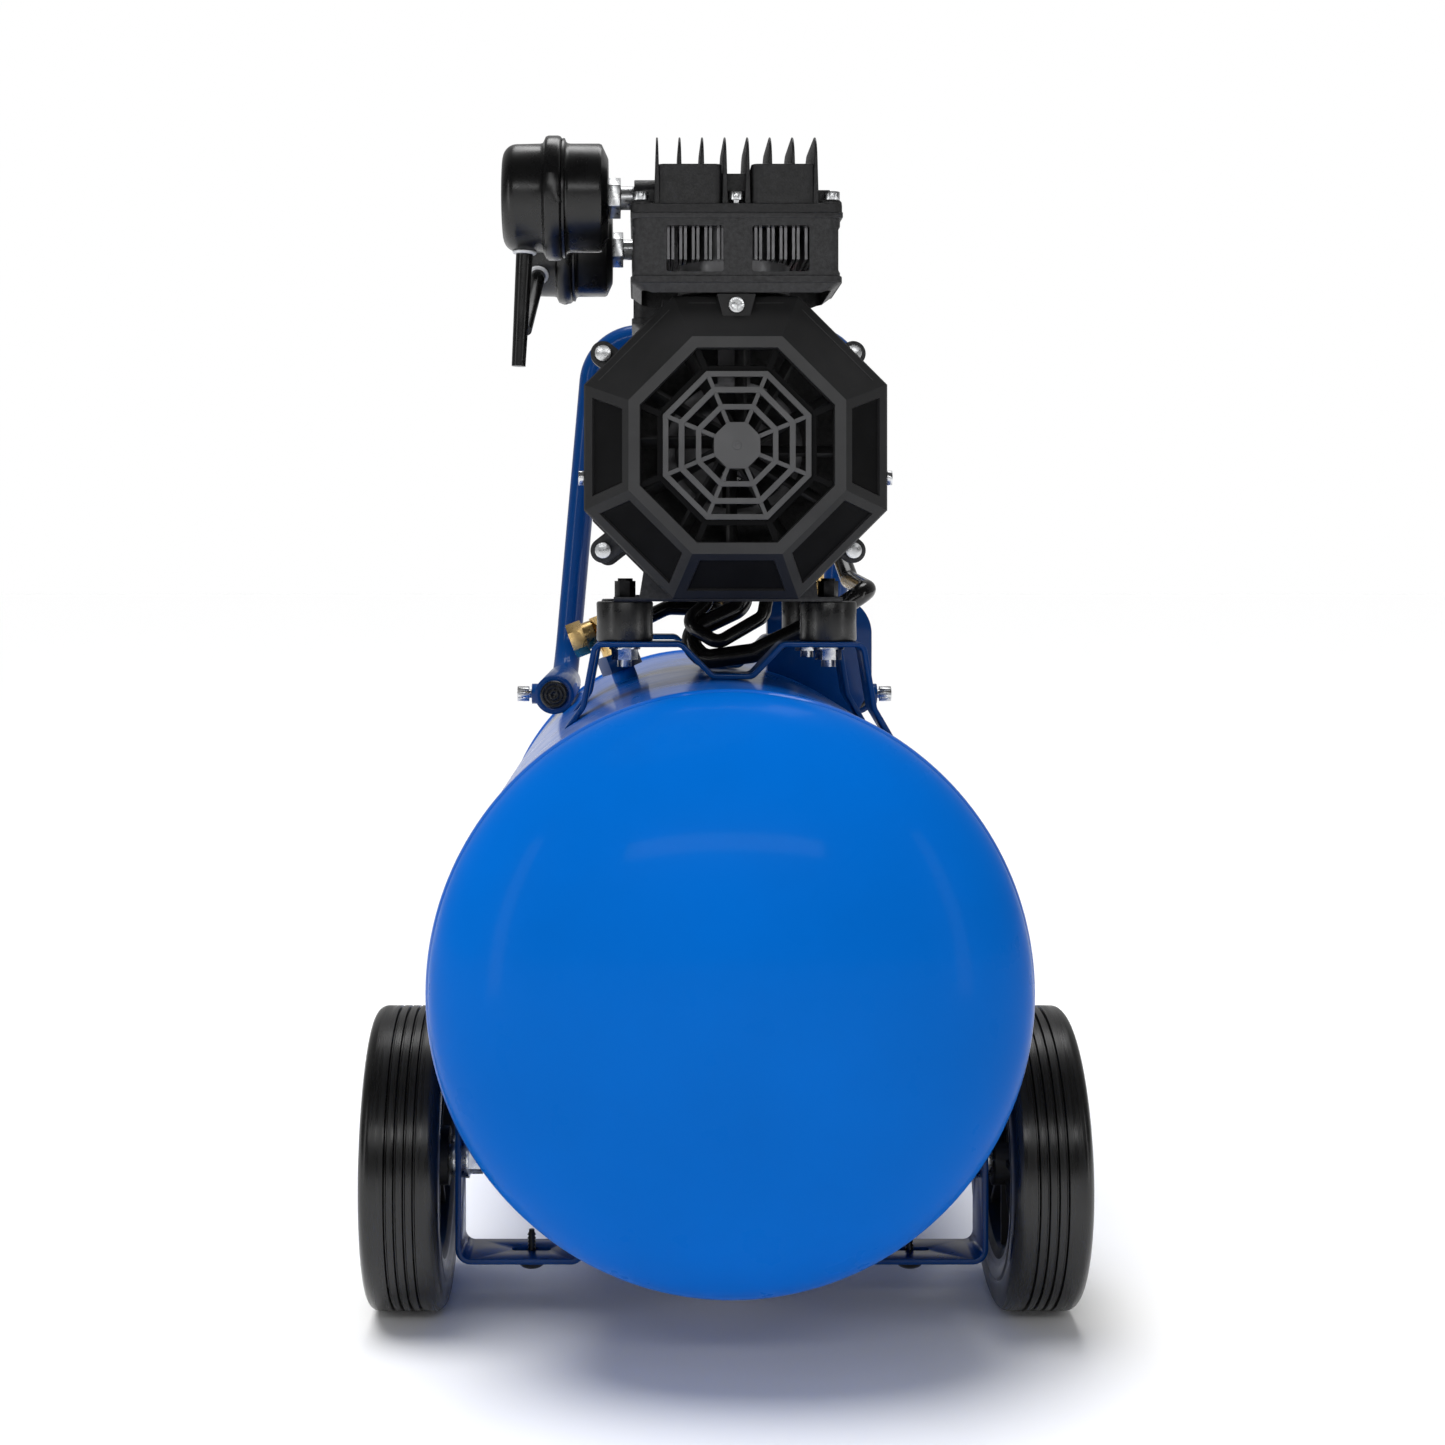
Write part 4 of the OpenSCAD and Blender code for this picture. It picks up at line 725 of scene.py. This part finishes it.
def make_heads():
    low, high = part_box("cylinder_heads")
    base, tip = low.z / MM, high.z / MM
    half_x, half_y = 57.5, 37
    block_top = 628
    heads = Shape()
    for side in (-1, 1):
        place = cylinder_place(side)
        heads.prism(rounded_rectangle(half_x, half_y, 5), base, base + 5, place)
        for x in (-51, 51):
            for y in (-30.5, 30.5):
                heads.lathe([(0, base), (6.5, base), (6.5, base + 6), (5.8, base + 7), (0, base + 7)],
                            place @ Matrix.Translation((x * MM, y * MM, 0)), 32)
        heads.box((-half_x + 6, -26, base + 4), (half_x - 6, 26, base + 14), place)
        heads.box((-9, -26, base + 10), (9, 26, base + 23), place)
        for x in (-43, 8):
            room = Matrix.Translation(((x + 17.5) * MM, 0, 0))
            heads.prism(rounded_rectangle(17.5, half_y - 1, 4), base + 1, block_top - 0.5, place @ room)
        for k in range(8):
            add_fin(heads, (k - 3.5) * 12.3, place, half_y - 1.5, base + 4, tip, 1.6, 0.5)
        port = place @ Matrix.Translation(((-half_x + 2) * MM, 0, mid("filter_nipples").z))
        heads.lathe([(6.5, 0), (10, 0), (10, 30), (6.5, 30)], port @ Matrix.Rotation(pi / 2, 4, "Y"), 48,
                    closed=True)
    heads.piece("head_castings", ["cast_black"], CHASSIS, "cast_black", ["cylinder_heads"],
                smooth=30, bevel=0.5)


def cut(obj, cutter_shape):
    """Takes a shape out of an object's mesh."""
    mesh = bpy.data.meshes.new("cutter")
    mesh.from_pydata([tuple(point) for point in cutter_shape.points], [], cutter_shape.faces)
    cutter = bpy.data.objects.new("cutter", mesh)
    bpy.context.scene.collection.objects.link(cutter)
    modifier = obj.modifiers.new("cut", "BOOLEAN")
    modifier.operation = "DIFFERENCE"
    modifier.solver = "EXACT"
    modifier.use_self = True
    modifier.object = cutter
    graph = bpy.context.evaluated_depsgraph_get()
    solid = bpy.data.meshes.new_from_object(obj.evaluated_get(graph))
    obj.modifiers.remove(modifier)
    obj.data = solid
    bpy.data.objects.remove(cutter)


def make_shrouds():
    """The cast housings round the cylinders, with their windows, and the ledge along each one's foot."""
    low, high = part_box("cylinder_shrouds")
    base, top = low.z / MM, high.z / MM
    half_x, half_y = 56.5, 36.5
    window_z = (base + 23.5) * MM
    for side, name in ((-1, "front"), (1, "rear")):
        place = cylinder_place(side)
        walls, room = Shape(), Shape()
        sections = []
        for inset, at in ((6.5, base), (0, base + 5), (0, top)):
            outline = rounded_rectangle(half_x - inset, half_y - inset * 0.4, 6, 6)
            sections.append([(x, y, at) for x, y in outline])
        walls.loft(sections, place)
        room.prism(rounded_rectangle(half_x - 5, half_y - 3, 4), base - 1, top + 1, place)
        for x in (-38, 8.5):
            window = (Matrix.Translation(((x + 15.5) * MM, 0, window_z))
                      @ Matrix.Rotation(pi / 2, 4, "X"))
            room.prism(rounded_rectangle(15.5, 12.5, 1.5), -60, 60, place @ window)
        for y in (-20, 20):
            window = Matrix.Translation((0, y * MM, window_z)) @ Matrix.Rotation(pi / 2, 4, "Y")
            room.prism(rounded_rectangle(12.5, 14, 1.5), -80, 80, place @ window)
        shroud = walls.piece("shroud_" + name, ["cast_dark"], CHASSIS, "cast_dark", ["cylinder_shrouds"],
                             smooth=30)
        cut(shroud, room)
        shroud.data.set_sharp_from_angle(angle=radians(30))
        add_bevel(shroud, 0.6)
    ledges = Shape()
    for side in (-1, 1):
        place = cylinder_place(side)
        ledges.frame_ring(rounded_rectangle(57.5, 37.4, 6.6), rounded_rectangle(54, 34, 4),
                          base + 5, base + 9, place)
    ledges.piece("shroud_ledges", ["cast_dark"], CHASSIS, "cast_dark", ["cylinder_shrouds"],
                 smooth=30, bevel=0.6)


def make_cylinders():
    """The two barrels, each in a bank of upright cooling ribs."""
    low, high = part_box("cylinders")
    base, top = low.z / MM, high.z / MM
    inner, outer = BORE / 2, BORE / 2 + 1.2
    barrels = Shape()
    for side in (-1, 1):
        place = cylinder_place(side)
        barrels.lathe([(inner, base), (outer - 0.6, base), (outer, base + 0.6), (outer, top), (inner, top)],
                      place, 96, closed=True)
        barrels.frame_ring(rounded_rectangle(44, 33.5, 5, 16), arc(0, 0, inner + 0.4, 0, 360 * 67 / 68, 67),
                           top - 4, top - 0.1, place)
        for k in range(25):
            x = (k - 12) * 3.4 + (0.45 if k % 2 else -0.45)
            start = (outer * outer - x * x) ** 0.5 - 0.5 if abs(x) < outer - 1 else 0
            for way in (-1, 1):
                near, far = sorted((way * start, way * 33.2))
                if far - near > 1:
                    barrels.box((x - 0.75, near, base + 17), (x + 0.75, far, top - 3), place)
    # Barrels and ribs take the dark aluminium copy: painted shade inside the shroud.
    barrels.piece("cylinder_barrels", ["shaded_rib_aluminium"], CHASSIS, "bare_aluminium", ["cylinders"],
                  smooth=30)


# ---- filters -----------------------------------------------------------------------------------

def make_filters():
    """The two canister filters: clamped cover, body, and a tapered intake tube with its collar."""
    covers_low, covers_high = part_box("filter_covers")
    bodies_low, bodies_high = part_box("filter_bodies")
    height = mid("filter_bodies").z
    joint_x = bodies_low.x
    length = (joint_x - covers_low.x) / MM
    stem = (bodies_high.x - joint_x) / MM
    radius = 30
    brim = radius + 5
    cover, body, collars = Shape(), Shape(), Shape()
    for y, turned, lean in ((covers_low.y + brim * MM, 0, 183), (covers_high.y - brim * MM, -50, 185)):
        place = towards((joint_x, y, height), (-1, 0, 0))
        profile = [(0, 0.2), (brim - 2, 0.2), (brim - 1, 1), (brim - 0.6, 2.2), (brim - 0.6, 7.6), (brim - 1.2, 9),
                   (radius + 1.6, 10), (radius + 0.4, 10.6), (radius, 12), (radius - 0.3, length - 9)]
        profile += [(radius - 8.3 + 8 * cos(radians(a)), length - 8 + 8 * sin(radians(a)))
                    for a in range(0, 91, 10)]
        profile += [(radius - 12, length), (radius - 13, length - 0.7), (radius - 14, length - 0.7),
                    (radius - 15, length), (0, length)]
        cover.lathe(profile, place, 128)
        add_clip(cover, Matrix.Translation((joint_x, y, height)), brim)
        place = towards((joint_x, y, height), (1, 0, 0))
        profile = [(0, -0.1), (radius + 2.6, -0.1), (radius + 3, 0.3), (radius + 3, 1.5), (radius + 1, 2.2),
                   (radius + 0.2, 3.2), (radius, 4.6), (radius, stem - 5), (radius - 0.6, stem - 3.6),
                   (radius - 7, stem - 0.6), (radius - 8.6, stem), (0, stem)]
        body.lathe(profile, place, 128)
        neck = (Matrix.Translation((0, y, height)) @ Matrix.Rotation(radians(turned), 4, "X")
                @ Matrix.Translation((joint_x - 21 * MM, 0, (4 - radius) * MM))
                @ Matrix.Rotation(radians(lean), 4, "Y"))
        route = [(0, 0, k * 4 * MM) for k in range(17)] + [(0, 0, 67.8 * MM)]
        cover.sweep(route, lambda walked: (4.8 - 0.9 * walked / 0.068) * MM, 32, neck)
        collars.lathe([(4.4, 3.4), (6.2, 3.5), (6.7, 4), (6.7, 4.6), (6.2, 5.1), (4.4, 5.2)], neck, 48,
                      closed=True)
    cover.piece("filter_covers_shell", ["filter_plastic"], CHASSIS, "filter_plastic", ["filter_covers"],
                smooth=32)
    body.piece("filter_bodies_shell", ["filter_plastic"], CHASSIS, "filter_plastic", ["filter_bodies"],
               smooth=32)
    collars.piece("filter_collars", ["white_plastic"], CHASSIS, "filter_plastic", ["filter_covers"])


def add_clip(shape, place, brim):
    """Three over-centre levers round a canister's clamp rim, the first facing the front."""
    for k in range(3):
        turn = place @ Matrix.Rotation(radians(120 * k), 4, "X")
        lever = [(-9.2, -brim + 3), (-8.4, -brim + 0.6), (-6, -brim), (-4, -brim),
                 (-1.6, -brim + 0.7), (-0.4, -brim + 3)]
        rows = []
        for z, shift in ((-8, 1.5), (-3, 0), (3, 0), (8, -1.5)):
            drop = 0.5 * (z / 8) ** 2
            rows.append([(x * (0.75 if abs(z) > 5 else 1) + shift, y + drop, z) for x, y in lever])
        shape.loft(rows, turn)


# ---- hose and wiring ---------------------------------------------------------------------------

def metres(*values):
    return Vector(values) * MM


VALVE_TAIL = metres(-41, 42, 377)
TAIL_AIM = Vector((cos(radians(26)), 0, sin(radians(26))))
PORT_Z = 618
HOSE_RADIUS = 0.0049


def make_hose():
    """The discharge hose from the check valve to the rear head, its ribbed ferrules, and the cross pipe."""
    lift = TAIL_AIM * MM
    end_x = cylinder_place(1).translation.x / MM
    port_y = cylinder_place(1).translation.y / MM + 26
    corners = [VALVE_TAIL, VALVE_TAIL + lift * 16, metres(4, 46, 383), metres(16, 86, 386),
               metres(16, 88, PORT_Z), metres(end_x, 60, PORT_Z), metres(end_x, port_y - 8, PORT_Z)]
    hose = Shape()
    hose.sweep(rounded_route(corners, 0.013, 14), HOSE_RADIUS, 32)
    for at, along, grip in ((VALVE_TAIL - lift * 13, lift, 6.4),
                            (metres(end_x, port_y, PORT_Z), metres(0, 1, 0), 5.8)):
        ferrule = towards(at, along, up=(0, 1, 0.3))
        ribs = []
        for k in range(4):
            ribs += [(grip - 0.9, 3.6 * k), (grip, 3.6 * k + 0.6),
                     (grip, 3.6 * k + 2.6), (grip - 0.9, 3.6 * k + 3.2)]
        hose.lathe([(4, 0), *ribs, (4, 14.4)], ferrule, 40, closed=True)
    hose.piece("discharge_hose", ["hose_rubber"], CHASSIS, "hose_rubber", ["discharge_lines"], smooth=40)
    pipe = Shape()
    ends = [Vector((end_x * MM, cylinder_place(side).translation.y - side * 18 * MM, PORT_Z * MM))
            for side in (-1, 1)]
    pipe.sweep(ends, HOSE_RADIUS, 32)
    pipe.piece("cross_pipe", ["bare_aluminium"], CHASSIS, "hose_rubber", ["discharge_lines"])


def make_wiring():
    """The sleeved leads from the pump to the pressure switch, a short loop, and the run capacitor's can."""
    lead_radius, loop_radius = 0.006, 0.0042
    saddle_z, can_z = 0.549, 0.571
    switch = mid("pressure_switch")
    gland_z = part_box("pressure_switch")[0].z / MM + 22
    switch_x = switch.x / MM
    corners = [metres(*point) for point in (
        (18, -62, 400.2), (18, -62, 386), (-20, -66, 368), (-6, -72, 353.8), (24, -76, 358), (64, -84, 378),
        (92, -78, 396), (93, 40, 402), (84, 92, 440), (switch_x, 98, gland_z),
        (switch_x, switch.y / MM - 26, gland_z))]
    leads = Shape()
    leads.sweep(rounded_route(corners, 0.010, 14), lead_radius, 32)
    loop = [metres(*point) for point in (
        (-2, -58, 401), (-4, -60, 388), (-18, -72, 376), (2, -78, 364), (30, -72, 380), (34, -62, 400))]
    leads.sweep(rounded_route(loop, 0.008, 12), loop_radius, 28)
    centre = pump_centre()
    can = towards((centre.x, centre.y - 0.036, can_z), (0, 1, 0))
    leads.lathe([(0, 1.6), (13, 1.6), (14, 0.6), (16, 0), (17.4, 0.5), (18, 2), (18, 60), (17.2, 61), (17.2, 62.4),
                 (18, 63.2), (18, 70), (17, 71.6), (0, 72)], can, 96)
    leads.prism(rounded_rectangle(12, 10, 2), 0, 9, Matrix.Translation((centre.x, centre.y, saddle_z)))
    leads.piece("motor_leads", ["hose_rubber"], CHASSIS, "hose_rubber", ["motor_wiring"], smooth=40)


# ---- gauges and switch -------------------------------------------------------------------------

def make_gauge_faces():
    low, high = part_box("gauges")
    radius = (high.z - low.z) / 2 / MM
    height = (low.z + high.z) / 2
    front = (high.y - low.y) / MM
    dial = 12.6
    faces, marks, lenses, bezels = Shape(), Shape(), Shape(), Shape()
    for x in (low.x + radius * MM, high.x - radius * MM):
        place = towards((x, low.y, height), (0, 1, 0))
        faces.lathe([(1.6, 12.1), (radius - 2.1, 12.1), (radius - 2.1, dial), (1.6, dial)], place, 96,
                    closed=True)
        for k in range(31):
            long = k % 5 == 0
            turn = place @ Matrix.Rotation(radians(225 - 9 * k), 4, "Z")
            inner = radius - (7.2 if long else 5.4)
            half_width = 0.28 if long else 0.16
            marks.box((inner, -half_width, dial), (radius - 3.6, half_width, 12.72), turn)
        lenses.lathe([(0, 17.4), (radius - 2.2, 17), (radius - 2.2, 18), (0, 18.4)], place, 96)
        bezels.lathe([(radius - 2.3, front - 3.4), (radius - 2.3, front - 1), (radius - 1.4, front - 0.1),
                      (radius - 0.4, front - 0.1), (radius - 0.02, front - 1), (radius - 0.02, front - 3.4)],
                     place, 96, closed=True)
    faces.piece("gauge_dials", ["dial_face"], CHASSIS, "black_plastic")
    marks.piece("gauge_marks", ["dial_mark"], CHASSIS, "black_plastic")
    lenses.piece("gauge_lenses", ["glass"], CHASSIS, "black_plastic")
    bezels.piece("gauge_bezels", ["zinc_steel"], CHASSIS, "zinc_steel")


# ---- carried-over parts ------------------------------------------------------------------------

def carry(node, bevel=0.0):
    """Dresses a CAD node: merged corners, rounded edges and its finish."""
    obj = frame["nodes"][node]
    obj.data.materials.clear()
    obj.data.materials.append(MATERIALS[FINISH_OF.get(node, SLOT_OF[node])])
    weld = obj.modifiers.new("weld", "WELD")
    weld.merge_threshold = 0.00002
    if bevel:
        add_bevel(obj, bevel, 2, angle=38)
    obj.data.shade_smooth()
    obj.data.set_sharp_from_angle(angle=radians(35))


def tint(node, material, chosen):
    """Gives another finish to the faces whose middles pass the test."""
    obj = frame["nodes"][node]
    obj.data.materials.append(MATERIALS[material])
    number = len(obj.data.materials) - 1
    for face in obj.data.polygons:
        if chosen(obj.matrix_world @ face.center):
            face.material_index = number


MOUNT_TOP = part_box("vibration_mounts")[1].z
TANK_CENTRE, TANK_RADIUS, _ = tank_frame()


def above_mounts(point):
    return point.z > MOUNT_TOP - 0.001


def on_valve_boss(point):
    height = (point - Vector((TANK_CENTRE.x, point.y, TANK_CENTRE.z))).length / MM - TANK_RADIUS
    return 6.5 < height < 19.6


def on_hose_tail(point):
    arm = point - VALVE_TAIL
    along = arm.dot(TAIL_AIM)
    return -0.0145 < along < 0.001 and (arm - TAIL_AIM * along).length < 0.0068


FINISH_OF = {"eccentrics": "core_steel", "piston_rod_front": "core_steel", "piston_rod_rear": "core_steel",
             "shaft": "core_steel"}

CARRIED = {
    "tank_bosses": 0.5, "drain_valve": 0.4, "drain_knob": 0.4, "wheel_bracket": 0.7, "wheel_axles": 0.5,
    "wheel_left_rim": 0.4, "wheel_right_rim": 0.4, "bumper_plugs": 0.2, "foot_bracket": 0.7,
    "rubber_feet": 0.8, "chassis_fasteners": 0.3, "handle_sleeves": 0.6, "handle_end_plugs": 0.2,
    "lock_screw_left": 0.2, "lock_screw_right": 0.2, "motor_cradles": 0.7, "stator_core": 0.0,
    "stator_windings": 0.0, "crankcases": 0.8, "through_bolts": 0.4, "shaft": 0.3, "rotor": 0.0,
    "shaft_bearings": 0.3, "eccentrics": 0.3, "piston_rod_front": 0.3, "piston_rod_rear": 0.3,
    "valve_plates": 0.3, "head_bolts": 0.4, "cooling_fans": 0.3, "filter_elements": 0.4,
    "filter_nipples": 0.4, "check_valve": 0.5, "console_plate": 0.8, "manifold": 0.5,
    "pressure_switch": 2.5, "switch_knob": 1.5, "safety_valve": 0.3, "safety_ring": 0.0,
    "regulator_knob": 0.8, "gauges": 0.5, "gauge_needle_tank": 0.0, "gauge_needle_outlet": 0.0,
    "outlet_coupler": 0.4, "coupler_sleeve": 0.4}


make_camera()
make_studio()
make_tank()
make_handle()
make_tyre("wheel_left_tyre", -1)
make_tyre("wheel_right_tyre", 1)
make_mounts()
for end in (-1, 1):
    make_fan_cover(end)
make_heads()
make_shrouds()
make_cylinders()
make_filters()
make_hose()
make_wiring()
make_gauge_faces()
for name, width in CARRIED.items():
    carry(name, width)
tint("chassis_fasteners", "blued_steel", above_mounts)
# The valve boss takes the darker frame blue: painted shade.
tint("check_valve", "frame_paint", on_valve_boss)
tint("check_valve", "hose_rubber", on_hose_tail)
